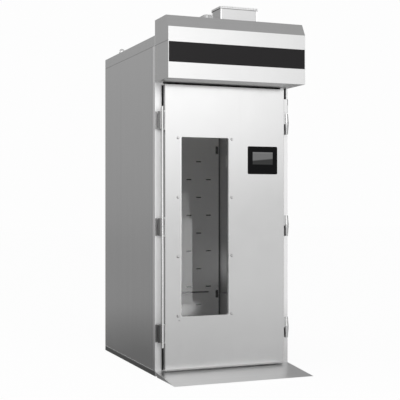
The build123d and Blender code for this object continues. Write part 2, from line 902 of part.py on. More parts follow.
with BuildPart() as drip_tray:
    tray_half = coil_length / 2 + tray_margin
    tray_span = (ceiling_top, ceiling_top + tray_height)
    block((-tray_half, tray_half), (coil_front - tray_lip, tray_back), tray_span)
    offset(amount=-sheet, openings=drip_tray.faces().sort_by(Axis.Z)[-1])
    bolt_hole(drain_radius - drain_wall, 4 * sheet, [(0, drain_level)], tray_back - 2 * sheet)
save(drip_tray, "drip_tray")

with BuildPart() as drain_pipe:
    with BuildSketch(Plane.XZ.offset(-tray_back)):
        with Locations((0, drain_level)):
            Circle(drain_radius)
            Circle(drain_radius - drain_wall, mode=Mode.SUBTRACT)
    extrude(amount=-(back - tray_back))
    with BuildSketch(Plane.XZ.offset(-back)):
        with Locations((0, drain_level)):
            Circle(drain_spigot_radius)
            Circle(drain_radius - drain_wall, mode=Mode.SUBTRACT)
    extrude(amount=-drain_stub)
save(drain_pipe, "drain_pipe")

with BuildPart() as heater_rods:
    rod_y = coil_front - heater_gap
    heater_levels = [coil_base + heater_rise * (step + 1) for step in range(2)]
    for level in heater_levels:
        bend_x = heater_length / 2 - heater_turn
        with BuildLine():
            Line((-heater_length / 2, rod_y, level + heater_turn), (bend_x, rod_y, level + heater_turn))
            ThreePointArc(
                (bend_x, rod_y, level + heater_turn),
                (heater_length / 2, rod_y, level),
                (bend_x, rod_y, level - heater_turn),
            )
            Line((bend_x, rod_y, level - heater_turn), (-heater_length / 2, rod_y, level - heater_turn))
        with BuildSketch(Plane((-heater_length / 2, rod_y, level + heater_turn), z_dir=(1, 0, 0))):
            Circle(heater_radius)
        sweep()
    for side in (-1, 1):
        bracket_x = side * (coil_length / 2 - heater_bracket_fin * fin_pitch)
        block((bracket_x - heater_bracket / 2, bracket_x + heater_bracket / 2),
              (rod_y - 2 * heater_radius, coil_front),
              (heater_levels[0] - 2 * heater_turn, heater_levels[-1] + 2 * heater_turn))
save(heater_rods, "heater_rods")

with BuildPart() as refrigerant_pipes:
    tube_top = coil_top - tube_step_z / 2
    pipe_top = body_height + pipe_stub
    for x, y, radius in pipe_places:
        with BuildLine():
            FilletPolyline(
                (x, y, pipe_top),
                (x, y, tube_top),
                (coil_length / 2 + coil_tube_overhang, y, tube_top),
                radius=pipe_bend,
            )
        with BuildSketch(Plane((x, y, pipe_top), z_dir=(0, 0, -1))):
            Circle(radius)
            Circle(radius - pipe_wall, mode=Mode.SUBTRACT)
        sweep()
        with BuildSketch(Plane.XY.offset(body_height)):
            with Locations((x, y)):
                Circle(radius + coupling_wall)
                Circle(radius - pipe_wall, mode=Mode.SUBTRACT)
        extrude(amount=pipe_stub)
save(refrigerant_pipes, "refrigerant_pipes")

with BuildPart() as water_inlet:
    upward = (Align.CENTER, Align.CENTER, Align.MIN)
    with Locations((*inlet_place, wall_top - inlet_pipe_drop)):
        Cylinder(inlet_pipe_radius, inlet_pipe_drop + roof_thickness, align=upward)
    with Locations((*inlet_place, body_height)):
        Box(valve_width, valve_depth, valve_height, align=upward)
    fillet(water_inlet.edges().filter_by(Axis.Z), sheet)
    with BuildSketch(Plane.XZ.offset(-inlet_y)):
        with Locations((inlet_x, body_height + valve_height / 2)):
            Circle(nipple_radius)
    extrude(amount=-valve_depth / 2 - nipple_length)
save(water_inlet, "water_inlet")

# Chamber fittings: rack bumper rails, a ceiling lamp and a climate probe
with BuildPart() as bumper_rails:
    rail_back = duct_front - rail_stand
    rail_front = frame_back + rail_end_gap
    side_rail_length = rail_back - rail_end_gap - rail_front
    rail_side = inner_half - rail_stand
    back_rail_half = rail_side - rail_end_gap
    side_step = (side_rail_length - 2 * rail_post_inset) / (rail_posts - 1)
    back_step = 2 * (back_rail_half - rail_post_inset) / (rail_posts - 1)
    for side in (-1, 1):
        with Locations((side * rail_side, rail_front + side_rail_length / 2, rail_level)):
            Cylinder(rail_rod_radius, side_rail_length, rotation=(90, 0, 0))
        with Locations((side * (rail_side + rail_stand / 2), rail_front + side_rail_length / 2, rail_level)):
            with GridLocations(0, side_step, 1, rail_posts):
                Cylinder(rail_post_radius, rail_stand, rotation=(0, 90, 0))
    with Locations((0, rail_back, rail_level)):
        Cylinder(rail_rod_radius, 2 * back_rail_half, rotation=(0, 90, 0))
    with Locations((0, rail_back + rail_stand / 2, rail_level)):
        with GridLocations(back_step, 0, rail_posts, 1):
            Cylinder(rail_post_radius, rail_stand, rotation=(90, 0, 0))
save(bumper_rails, "bumper_rails")

with BuildPart() as chamber_lamp:
    block((-lamp_length / 2, lamp_length / 2), (lamp_y - lamp_width / 2, lamp_y + lamp_width / 2),
          (ceiling_height - lamp_height, ceiling_height))
    fillet(chamber_lamp.edges().group_by(Axis.Z)[0], lamp_round)
save(chamber_lamp, "chamber_lamp")

with BuildPart() as climate_probe:
    probe_x = inner_half - probe_bracket
    with Locations((probe_x, probe_y, probe_level)):
        Cylinder(probe_radius, probe_length)
    fillet(climate_probe.edges().filter_by(GeomType.CIRCLE), probe_radius / 2)
    block((probe_x, inner_half), (probe_y - probe_radius, probe_y + probe_radius),
          (probe_level - probe_radius, probe_level + probe_radius))
save(climate_probe, "climate_probe")

# Ramp: a sloping plate with a rear leg and gussets under it
with BuildPart() as ramp:
    slope = floor_thickness / ramp_length
    toe = ramp_plate / slope
    with BuildSketch(Plane.YZ):
        with BuildLine():
            Polyline(
                (front, floor_thickness),
                (front - ramp_length, 0),
                (front - ramp_length + toe, 0),
                (front, floor_thickness - ramp_plate),
                close=True,
            )
        make_face()
    extrude(amount=half_width, both=True)
    block((-half_width, half_width), (front - ramp_plate, front), (0, floor_thickness - ramp_plate))
    gusset_places = [half_width - ramp_plate / 2 - step * (body_width - ramp_plate) / (ramp_gussets - 1)
                     for step in range(ramp_gussets)]
    for x in gusset_places:
        start = front - ramp_cheek_gap
        with BuildSketch(Plane.YZ.offset(x)):
            with BuildLine():
                Polyline(
                    (start, 0),
                    (front - ramp_length + toe, 0),
                    (start, (ramp_length - ramp_cheek_gap - toe) * slope),
                    close=True,
                )
            make_face()
        extrude(amount=ramp_plate / 2, both=True)
save(ramp, "ramp")


# Door: an outer tray, an inner tray, a foam core and a double-glazed window
def window_opening(width, height):
    """The window's outline on the door's face."""
    with Locations((window_x, door_middle)):
        RectangleRounded(width, height, window_corner)


with BuildPart() as door_outer_pan:
    block((-door_half, door_half), (door_front, core_back), (door_bottom, door_top))
    fillet(door_outer_pan.edges().filter_by(Axis.Z).group_by(Axis.Y)[0], sheet)
    block((-door_half + sheet, door_half - sheet), (core_front, core_back),
          (door_bottom + sheet, door_top - sheet), mode=Mode.SUBTRACT)
    with BuildSketch(Plane.XZ.offset(-door_front)):
        window_opening(window_width, window_height)
        with Locations((panel_x, panel_middle)):
            Rectangle(controller_width, controller_height)
    extrude(amount=-sheet, mode=Mode.SUBTRACT)
    bolt_hole(screw_shank_radius, 2 * sheet, window_screw_places, door_front - sheet)
save(door_outer_pan, "door_outer_pan")

with BuildPart() as door_inner_pan:
    block((-door_half, door_half), (core_back, door_back), (door_bottom, door_top))
    with BuildSketch(Plane.XZ.offset(-core_back)):
        window_opening(window_width, window_height)
    extrude(amount=-sheet, mode=Mode.SUBTRACT)
save(door_inner_pan, "door_inner_pan")

with BuildPart() as door_core:
    core_half = door_half - sheet
    core_span = (door_bottom + sheet, door_top - sheet)
    block((-core_half, core_half), (core_front, core_back), core_span)
    with BuildSketch(Plane.XZ.offset(-core_front)):
        with Locations((window_x, door_middle)):
            Rectangle(glass_width, glass_height)
    extrude(amount=-(core_back - core_front), mode=Mode.SUBTRACT)
    with BuildSketch(Plane.XZ.offset(-core_front)):
        with Locations((panel_x, panel_middle)):
            Rectangle(controller_width, controller_height)
    extrude(amount=-controller_depth, mode=Mode.SUBTRACT)
    bolt_hole(screw_shank_radius, screw_shank_length, window_screw_places, core_front)
save(door_core, "door_core")

with BuildPart() as door_gasket:
    seal_outer = door_half - seal_inset
    seal_top = door_top - seal_inset
    seal_bottom = door_bottom + seal_inset
    seal_face = front - seal_clearance
    with BuildSketch(Plane.XZ.offset(-door_back)):
        with Locations((0, (seal_bottom + seal_top) / 2)):
            Rectangle(2 * seal_outer, seal_top - seal_bottom)
        with Locations((0, (seal_bottom + seal_top - seal_width) / 2)):
            Rectangle(2 * (seal_outer - seal_width), seal_top - seal_bottom - seal_width, mode=Mode.SUBTRACT)
    extrude(amount=-(seal_face - door_back))
    chamfer(door_gasket.edges().group_by(Axis.Y)[-1].filter_by(Axis.Z), seal_width / 6)
save(door_gasket, "door_gasket")

with BuildPart() as door_sweep:
    sweep_bottom = floor_thickness + threshold_thickness + sweep_clearance
    sweep_middle = (door_front + door_back) / 2
    block((-door_half + seal_inset, door_half - seal_inset),
          (sweep_middle - sweep_depth / 2, sweep_middle + sweep_depth / 2), (sweep_bottom, door_bottom))
    chamfer(door_sweep.edges().group_by(Axis.Z)[0].filter_by(Axis.X), sweep_depth / 5)
save(door_sweep, "door_sweep")


def glass_pane(y_span):
    """One pane of the window between two Y coordinates."""
    with BuildPart() as pane:
        with BuildSketch(Plane.XZ.offset(-y_span[0])):
            with Locations((window_x, door_middle)):
                Rectangle(glass_width, glass_height)
        extrude(amount=-(y_span[1] - y_span[0]))
    return pane


outer_glass_back = core_front + glass_thickness
inner_glass_front = core_back - glass_thickness
save(glass_pane((core_front, outer_glass_back)), "outer_glass")
save(glass_pane((inner_glass_front, core_back)), "inner_glass")

with BuildPart() as glass_spacer:
    with BuildSketch(Plane.XZ.offset(-outer_glass_back)):
        with Locations((window_x, door_middle)):
            Rectangle(glass_width, glass_height)
            RectangleRounded(window_width + 2 * spacer_reveal, window_height + 2 * spacer_reveal,
                             window_corner, mode=Mode.SUBTRACT)
    extrude(amount=-(inner_glass_front - outer_glass_back))
save(glass_spacer, "glass_spacer")

with BuildPart() as window_screws:
    head_front = door_front - screw_head_height
    with BuildSketch(Plane.XZ.offset(-head_front)):
        with Locations(*window_screw_places):
            Circle(screw_head_radius)
    extrude(amount=-screw_head_height)
    fillet(window_screws.edges().filter_by(GeomType.CIRCLE).group_by(Axis.Y)[0], screw_head_height / 2)
    with BuildSketch(Plane.XZ.offset(-door_front)):
        with Locations(*window_screw_places):
            Circle(screw_shank_radius)
    extrude(amount=-sheet - screw_shank_length)
    with BuildSketch(Plane.XZ.offset(-head_front)):
        for turn in (0, 90):
            with Locations(*window_screw_places):
                Rectangle(1.1 * screw_head_radius, screw_slot, rotation=turn)
    extrude(amount=-screw_head_height / 2, mode=Mode.SUBTRACT)
save(window_screws, "window_screws")

# Touch screen: a dark glass plate, its controller behind it and the display set into it
panel_face = door_front - panel_thickness
display_middle = panel_middle + display_rise

with BuildPart() as touch_panel:
    with BuildSketch(Plane.XZ.offset(-panel_face)):
        with Locations((panel_x, panel_middle)):
            RectangleRounded(panel_width, panel_height, panel_corner)
    extrude(amount=-panel_thickness)
    fillet(touch_panel.edges().group_by(Axis.Y)[0], panel_thickness / 3)
    with BuildSketch(Plane.XZ.offset(-door_front)):
        with Locations((panel_x, panel_middle)):
            Rectangle(controller_width, controller_height)
    extrude(amount=-controller_depth)
    with BuildSketch(Plane.XZ.offset(-panel_face)):
        with Locations((panel_x, display_middle)):
            Rectangle(display_width, display_height)
    extrude(amount=-display_depth, mode=Mode.SUBTRACT)
save(touch_panel, "touch_panel")

with BuildPart() as display_screen:
    with BuildSketch(Plane.XZ.offset(-panel_face)):
        with Locations((panel_x, display_middle)):
            Rectangle(display_width, display_height)
    extrude(amount=-display_depth)
save(display_screen, "display_screen")

# Handle brackets on the door's edge, each with two ears and a pivot pin
with BuildPart() as handle_brackets:
    for level in fitting_heights:
        block((-door_half - bracket_plate, -door_half),
              (door_front + bracket_margin, door_back - bracket_margin),
              (level - bracket_half_height, level + bracket_half_height))
        for low in (level - bracket_half_height, level + bracket_half_height - bracket_ear):
            with BuildSketch(Plane.XY.offset(low)):
                with Locations(handle_pivot):
                    Circle(handle_hub_radius)
                with Locations(((handle_pivot.X - door_half) / 2, handle_pivot.Y)):
                    Rectangle(handle_pivot_out, 2 * handle_hub_radius)
            extrude(amount=bracket_ear)
        with Locations((handle_pivot.X, handle_pivot.Y, level)):
            Cylinder(handle_pin_radius, 3 * bracket_half_height, mode=Mode.SUBTRACT)
save(handle_brackets, "handle_brackets")

with BuildPart() as handle_pins:
    with Locations(*[(handle_pivot.X, handle_pivot.Y, level) for level in fitting_heights]):
        Cylinder(handle_pin_radius, 2 * bracket_half_height)
    chamfer(handle_pins.edges().filter_by(GeomType.CIRCLE), 0.5)
save(handle_pins, "handle_pins")

with BuildPart() as handle_bar:
    bar_bottom = fitting_heights[0] - bracket_half_height - bar_overhang
    bar_top = fitting_heights[-1] + bracket_half_height + bar_overhang
    with BuildSketch(Plane.XY.offset(bar_bottom)):
        with Locations(bar_centre):
            Circle(bar_radius)
    extrude(amount=bar_top - bar_bottom)
    fillet(handle_bar.edges().filter_by(GeomType.CIRCLE), bar_end_round)
save(handle_bar, "handle_bar")

# Levers: a hub on the pin, an arm to the bar and a claw. The claw is drawn released: turning the
# handle carries it behind the keeper's pin.
with BuildPart() as handle_levers:
    to_pin = keeper_pin - handle_pivot
    pin_angle = degrees(atan2(to_pin.Y, to_pin.X))
    claw_radius = to_pin.length + keeper_pin_radius + claw_clearance + claw_thickness / 2
    arm_angle = radians(pin_angle + claw_arm_angle)
    claw_root = handle_pivot + Vector(claw_radius * cos(arm_angle), claw_radius * sin(arm_angle))
    for level in fitting_heights:
        with BuildSketch(Plane.XY.offset(level)):
            with Locations(handle_pivot):
                Circle(handle_hub_radius)
            strut(handle_pivot, claw_root, lever_web)
            strut(handle_pivot, bar_centre, lever_web)
        extrude(amount=lever_half_height, both=True)
        with BuildSketch(Plane.XY.offset(level)):
            SlotArc(CenterArc(handle_pivot, claw_radius, pin_angle + claw_start, claw_sweep), claw_thickness)
        extrude(amount=claw_half_height, both=True)
        with Locations((handle_pivot.X, handle_pivot.Y, level)):
            Cylinder(handle_pin_radius + running_clearance, 3 * lever_half_height, mode=Mode.SUBTRACT)
        with Locations((bar_centre.X, bar_centre.Y, level)):
            Cylinder(bar_radius, 3 * lever_half_height, mode=Mode.SUBTRACT)
save(handle_levers, "handle_levers")

# Cable passage: a box on the door's edge turns under a fixed elbow on the hinge line, behind a
# cover plate that is flush with the door's face
with BuildPart() as door_cable_box:
    box_top = cable_box_level + cable_box_height
    plate_top = cable_box_level + cable_plate_height
    box_back = hinge_y + cable_box_radius
    block((door_half, hinge_x), (door_front, box_back), (cable_box_level, box_top))
    with BuildSketch(Plane.XY.offset(cable_box_level)):
        with Locations((hinge_x, hinge_y)):
            Circle(cable_box_radius)
    extrude(amount=cable_box_height)
    block((door_half, door_half + cable_plate), (door_front, box_back), (cable_box_level, plate_top))
    block((door_half, door_half + cable_plate_width), (door_front, door_front + cable_plate),
          (cable_box_level, plate_top))
    with BuildSketch(Plane.XY.offset(box_top)):
        with Locations((hinge_x, hinge_y)):
            Circle(cable_spigot_radius)
    extrude(amount=cable_spigot_length)
save(door_cable_box, "door_cable_box")

with BuildPart() as cable_elbow:
    elbow_bottom = cable_box_level + cable_box_height + cable_gap
    with BuildSketch(Plane.XY.offset(elbow_bottom)):
        with Locations((hinge_x, hinge_y)):
            Circle(cable_elbow_radius)
    extrude(amount=cable_elbow_height)
    fillet(cable_elbow.edges().filter_by(GeomType.CIRCLE).group_by(Axis.Z)[-1], cable_elbow_round)
    block((hinge_x - cable_elbow_width / 2, hinge_x + cable_elbow_width / 2), (hinge_y, front),
          (elbow_bottom, elbow_bottom + cable_elbow_arm))
    with Locations((hinge_x, hinge_y, elbow_bottom)):
        Cylinder(cable_spigot_radius + running_clearance, 2 * cable_spigot_length, mode=Mode.SUBTRACT)
save(cable_elbow, "cable_elbow")
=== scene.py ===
# %% [markdown]
# # A roll-in retarder proofer
#
# The object is a tall insulated cabinet that bakers roll racks of dough into. Nearly all of it is
# brushed stainless sheet, so most of the work here is in one metal and in what that metal reflects.
# The solids come from the frame. Each step below says what a piece is, how it could be made, and
# why it is made the way it is.

# %% Load the frame
from math import pi, radians
import bmesh
import bpy
from mathutils import Matrix, Vector


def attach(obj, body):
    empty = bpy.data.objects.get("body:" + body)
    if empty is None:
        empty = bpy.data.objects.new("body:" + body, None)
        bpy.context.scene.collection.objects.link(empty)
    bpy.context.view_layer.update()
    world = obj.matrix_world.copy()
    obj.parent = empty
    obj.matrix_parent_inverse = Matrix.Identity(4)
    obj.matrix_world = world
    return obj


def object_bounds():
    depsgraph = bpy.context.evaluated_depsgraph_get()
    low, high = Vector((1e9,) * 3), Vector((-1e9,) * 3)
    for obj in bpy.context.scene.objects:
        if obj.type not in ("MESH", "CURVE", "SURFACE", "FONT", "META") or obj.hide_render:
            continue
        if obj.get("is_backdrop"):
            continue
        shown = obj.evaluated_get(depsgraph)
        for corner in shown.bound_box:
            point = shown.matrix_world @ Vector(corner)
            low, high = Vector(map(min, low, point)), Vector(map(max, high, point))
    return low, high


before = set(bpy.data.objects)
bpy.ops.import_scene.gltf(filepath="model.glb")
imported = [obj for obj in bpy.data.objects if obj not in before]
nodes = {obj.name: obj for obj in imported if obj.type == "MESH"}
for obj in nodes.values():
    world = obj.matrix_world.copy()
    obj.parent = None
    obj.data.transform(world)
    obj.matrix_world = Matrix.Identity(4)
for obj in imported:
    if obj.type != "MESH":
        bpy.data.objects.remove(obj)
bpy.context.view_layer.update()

# %% [markdown]
# ## The camera
#
# The photograph was taken with a long lens, level with the middle of the door and turned a little
# to the right, so that upright edges stay parallel. A level camera with no shift does the same.
# The focal length and the place came from the straight edges of the cabinet.

# %% Camera
LENS = 84.49
CAMERA_PLACE = (-2.563, -6.598, 1.190)
CAMERA_TURN = 21.743

camera_data = bpy.data.cameras.new("photo_camera")
camera_data.sensor_width = 36
camera_data.lens = LENS
camera = bpy.data.objects.new("photo_camera", camera_data)
camera.location = CAMERA_PLACE
camera.rotation_euler = (radians(90), 0, radians(-CAMERA_TURN))
bpy.context.scene.collection.objects.link(camera)
bpy.context.scene.camera = camera
bpy.context.scene.view_settings.view_transform = "Standard"
print("camera at", CAMERA_PLACE, "lens", LENS)

# %% [markdown]
# ## Small tools for shader nodes
#
# Every finish below is a graph of shader nodes. Adding a node, setting its sockets and joining it
# to others takes three lines each time, so one short function does it. A value that is a socket is
# linked, and any other value is written into the socket.


# %% Node helpers
def add_node(tree, kind, inputs=(), **settings):
    """A node of that kind; inputs maps a socket's name or number to a value or another socket."""
    node = tree.nodes.new(kind)
    for key, value in settings.items():
        setattr(node, key, value)
    for key, value in dict(inputs).items():
        if isinstance(value, bpy.types.NodeSocket):
            tree.links.new(value, node.inputs[key])
        else:
            node.inputs[key].default_value = value
    return node


def math_node(tree, operation, a, b=0.0, clamp=False):
    """The result of one sum on two values."""
    return add_node(tree, "ShaderNodeMath", {0: a, 1: b}, operation=operation, use_clamp=clamp).outputs[0]


def remap(tree, value, low, high, to_low, to_high, kind="LINEAR"):
    """A value moved from one range to another, and held inside it."""
    inputs = {"Value": value, "From Min": low, "From Max": high, "To Min": to_low, "To Max": to_high}
    return add_node(tree, "ShaderNodeMapRange", inputs, interpolation_type=kind).outputs["Result"]


def mix_colour(tree, factor, first, second, blend="MIX"):
    """Two colours mixed by a factor."""
    node = add_node(tree, "ShaderNodeMix", data_type="RGBA", blend_type=blend)
    for index, value in ((0, factor), (6, first), (7, second)):
        if isinstance(value, bpy.types.NodeSocket):
            tree.links.new(value, node.inputs[index])
        else:
            node.inputs[index].default_value = value
    return node.outputs[2]


def grey(level):
    """An opaque grey of that brightness."""
    return (level, level, level, 1.0)


print("node helpers ready")

# %% [markdown]
# ## The studio
#
# Steel shows its surroundings more than itself. The cabinet stood in a studio whose bright side was
# behind the camera and a little to its left, so the door is pale and the side that faces away is
# much darker. The world is that room: a dim grey all round, a broad bright wall in front that
# begins at the horizon, and a smaller soft light on the left that only round edges pick up.
#
# The camera, and whatever is seen straight through glass, gets plain white. Glossy rays get the
# room, so that metal shows its gradients. A pane is the only perfectly sharp mirror here, and what
# it mirrors is made dimmer, also when a ray was turned back at an inner face of the pane. A ray
# that has passed both panes twice comes from the steel inside, and sees the room as it is.

# %% Rays and what they see
PANE_SHARE = 0.16
BOTH_PANES_TWICE = 7.5


def ray_masks(tree):
    """Three masks: rays that see white paper, rays that see the room, and how bright they see it."""
    path = add_node(tree, "ShaderNodeLightPath").outputs
    bounced = math_node(tree, "MINIMUM", path["Glossy Depth"], 1.0)
    straight = math_node(tree, "SUBTRACT", 1.0, bounced)
    through = math_node(tree, "MULTIPLY", path["Is Transmission Ray"], straight)
    sees_paper = math_node(tree, "ADD", path["Is Camera Ray"], through, clamp=True)
    turned_back = math_node(tree, "MULTIPLY", path["Is Transmission Ray"], bounced)
    sees_room = math_node(tree, "MAXIMUM", path["Is Glossy Ray"], turned_back)
    near_glass = math_node(tree, "LESS_THAN", path["Transmission Depth"], BOTH_PANES_TWICE)
    in_pane = math_node(tree, "MULTIPLY", path["Is Singular Ray"], near_glass)
    pane_loss = math_node(tree, "MULTIPLY", in_pane, 1.0 - PANE_SHARE)
    return sees_paper, sees_room, math_node(tree, "SUBTRACT", 1.0, pane_loss)


print("a pane gives back", PANE_SHARE, "of the room")

# %% World
PAPER_WHITE = 0.983
ROOM_LOW, ROOM_LEVEL, ROOM_HIGH = 0.31, 0.44, 0.58
FRONT_LIGHT_WAY = (-0.05, -0.999, 0.0)
FRONT_LIGHT = 1.40
LEFT_LIGHT_WAY = (-0.91, -0.38, 0.15)
LEFT_LIGHT = 1.10
FRONT_CONE, LEFT_CONE = (0.60, 1.00), (0.86, 0.975)
LOW_BAND, HIGH_BAND = (-0.16, 0.16), (0.16, 0.88)
RIGHT_LOSS = (-0.40, 0.45, 0.0, 0.13)
LIGHT_RISE, LIGHT_FALL = (-0.11, 0.10, 0.0, 1.0), (0.35, 0.75, 1.0, 0.25)

world = bpy.data.worlds.new("studio")
bpy.context.scene.world = world
world.use_nodes = True
tree = world.node_tree
tree.nodes.clear()
direction = add_node(tree, "ShaderNodeTexCoord").outputs["Generated"]
axes = add_node(tree, "ShaderNodeSeparateXYZ", {0: direction})
low_part = remap(tree, axes.outputs["Z"], *LOW_BAND, ROOM_LOW, ROOM_LEVEL)
high_part = remap(tree, axes.outputs["Z"], *HIGH_BAND, 0.0, ROOM_HIGH - ROOM_LEVEL)
right_loss = remap(tree, axes.outputs["X"], *RIGHT_LOSS)
room_tone = math_node(tree, "SUBTRACT", math_node(tree, "ADD", low_part, high_part), right_loss)
rise = remap(tree, axes.outputs["Z"], *LIGHT_RISE)
fall = remap(tree, axes.outputs["Z"], *LIGHT_FALL)
wall_light = math_node(tree, "MULTIPLY", rise, fall)
for way, cone, level, share in (
    (FRONT_LIGHT_WAY, FRONT_CONE, FRONT_LIGHT, wall_light),
    (LEFT_LIGHT_WAY, LEFT_CONE, LEFT_LIGHT, 1.0),
):
    facing = add_node(tree, "ShaderNodeVectorMath", {0: direction, 1: way}, operation="DOT_PRODUCT")
    glow = remap(tree, facing.outputs["Value"], *cone, 0.0, level, "SMOOTHSTEP")
    room_tone = math_node(tree, "ADD", room_tone, math_node(tree, "MULTIPLY", glow, share))
seen, _, brightness = ray_masks(tree)
room_tone = math_node(tree, "MULTIPLY", room_tone, brightness)
room = add_node(tree, "ShaderNodeBackground", {"Color": grey(1.0), "Strength": room_tone})
white = add_node(tree, "ShaderNodeBackground", {"Color": grey(1.0), "Strength": PAPER_WHITE})
mixed = add_node(tree, "ShaderNodeMixShader", {0: seen, 1: room.outputs[0], 2: white.outputs[0]})
add_node(tree, "ShaderNodeOutputWorld", {"Surface": mixed.outputs[0]})
print("room", ROOM_LOW, "to", ROOM_HIGH, "front light", FRONT_LIGHT, "left light", LEFT_LIGHT)

# %% [markdown]
# ## The floor
#
# A plain pale floor that runs on to the horizon. To the camera it is almost white, with a little of
# its real shading kept so that the cabinet has a soft shadow to stand in. In the steel it shows as
# the grey of a studio floor, lighter in front where the lamps are. Beside and behind the cabinet it
# is dark, and the edge between the two runs off slantwise from the corner of the ramp.

# %% Floor
FLOOR_SIZE = 60.0
FLOOR_FRONT_FAR, FLOOR_FRONT_NEAR = 0.77, 0.60
FLOOR_BACK_NEAR, FLOOR_BACK_FAR = 0.17, 0.31
FLOOR_PAPER, SHADOW_SHARE = 1.02, 0.08
FRONT_SPAN, BACK_SPAN = (-6.0, -0.9), (0.4, 3.5)
DARK_SLANT, DARK_EDGE = 0.9, (-0.55, -0.20)
FLOOR_GREY = 0.90

bm = bmesh.new()
bmesh.ops.create_grid(bm, x_segments=1, y_segments=1, size=FLOOR_SIZE / 2)
floor_mesh = bpy.data.meshes.new("floor")
bm.to_mesh(floor_mesh)
bm.free()
floor = bpy.data.objects.new("floor", floor_mesh)
bpy.context.scene.collection.objects.link(floor)
floor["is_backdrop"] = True

paper = bpy.data.materials.new("floor_paper")
paper.use_nodes = True
tree = paper.node_tree
tree.nodes.clear()
place = add_node(tree, "ShaderNodeTexCoord").outputs["Object"]
axes = add_node(tree, "ShaderNodeSeparateXYZ", {0: place})
along = axes.outputs["Y"]
front_part = remap(tree, along, *FRONT_SPAN, FLOOR_FRONT_FAR, FLOOR_FRONT_NEAR)
back_part = remap(tree, along, *BACK_SPAN, FLOOR_BACK_NEAR, FLOOR_BACK_FAR)
slanted = math_node(tree, "SUBTRACT", along, math_node(tree, "MULTIPLY", axes.outputs["X"], DARK_SLANT))
to_back = remap(tree, slanted, *DARK_EDGE, 0.0, 1.0, "SMOOTHSTEP")
floor_tone = mix_colour(tree, to_back, front_part, back_part)
seen, in_mirror, brightness = ray_masks(tree)
matt = add_node(tree, "ShaderNodeBsdfDiffuse", {"Color": grey(FLOOR_GREY)})
plain = add_node(tree, "ShaderNodeEmission", {"Color": grey(1.0), "Strength": FLOOR_PAPER})
pale = add_node(tree, "ShaderNodeMixShader", {0: SHADOW_SHARE, 1: plain.outputs[0], 2: matt.outputs[0]})
mirrored = add_node(tree, "ShaderNodeEmission", {"Color": floor_tone, "Strength": brightness})
in_metal = add_node(tree, "ShaderNodeMixShader", {0: in_mirror, 1: matt.outputs[0], 2: mirrored.outputs[0]})
both = add_node(tree, "ShaderNodeMixShader", {0: seen, 1: in_metal.outputs[0], 2: pale.outputs[0]})
add_node(tree, "ShaderNodeOutputMaterial", {"Surface": both.outputs[0]})
floor_mesh.materials.append(paper)
print("floor", FLOOR_SIZE, "m across")

# %% [markdown]
# ## A tall light box seen in the pane
#
# The lower left of the photographed window carries a pale upright shape with a step in its edge,
# and a soft glow at its foot. They were taken to be the reflection of a tall lit box in the room
# and of the floor before it. Here they are two panels, placed for this one view. Only the
# outer face of the pane shows them, because their materials let every other ray through.

# %% Light box
def first_mirror(tree):
    """One for a ray that was mirrored by the outer face of the pane, and zero for every other ray."""
    path = add_node(tree, "ShaderNodeLightPath").outputs
    outside = math_node(tree, "LESS_THAN", path["Transmission Depth"], 0.5)
    return math_node(tree, "MULTIPLY", path["Is Singular Ray"], outside)


BOX_LEFT = 0.80
BOX_DISTANCE = -4.655
BOX_STRENGTH, BOX_TOP_SHARE = 4.6, 0.42
BOX_STEPS = [(1.307, 0.0, 0.98), (1.273, 0.98, 1.274)]
BOX_STEP_BLEND = (0.95, 1.0)

bm = bmesh.new()
for right, foot, head in BOX_STEPS:
    middle = Matrix.Translation(((BOX_LEFT + right) / 2, BOX_DISTANCE, (foot + head) / 2))
    spread = Matrix.Diagonal((right - BOX_LEFT, head - foot, 1.0, 1.0))
    bmesh.ops.create_grid(bm, x_segments=1, y_segments=1, size=0.5,
                          matrix=middle @ Matrix.Rotation(pi / 2, 4, "X") @ spread)
box_mesh = bpy.data.meshes.new("light_box")
bm.to_mesh(box_mesh)
bm.free()
light_box = bpy.data.objects.new("light_box", box_mesh)
bpy.context.scene.collection.objects.link(light_box)
light_box.visible_camera = False
light_box.visible_shadow = False
light_box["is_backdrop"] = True

box_cloth = bpy.data.materials.new("light_box_cloth")
box_cloth.use_nodes = True
tree = box_cloth.node_tree
tree.nodes.clear()
height = add_node(tree, "ShaderNodeSeparateXYZ",
                  {0: add_node(tree, "ShaderNodeTexCoord").outputs["Object"]}).outputs["Z"]
box_tone = remap(tree, height, *BOX_STEP_BLEND, 1.0, BOX_TOP_SHARE)
lit = add_node(tree, "ShaderNodeEmission", {"Color": box_tone, "Strength": BOX_STRENGTH})
clear = add_node(tree, "ShaderNodeBsdfTransparent")
shown = add_node(tree, "ShaderNodeMixShader", {0: first_mirror(tree), 1: clear.outputs[0], 2: lit.outputs[0]})
add_node(tree, "ShaderNodeOutputMaterial", {"Surface": shown.outputs[0]})
box_mesh.materials.append(box_cloth)
print("light box", len(box_mesh.polygons), "faces")

# %% Lit floor
GLOW_PLACE = (0.985, -4.15)
GLOW_WIDE, GLOW_LONG, GLOW_SLANT = 0.26, 1.25, 0.47
GLOW_STRENGTH = 9.5
GLOW_SHEET, GLOW_LIFT = 1.1, 0.003

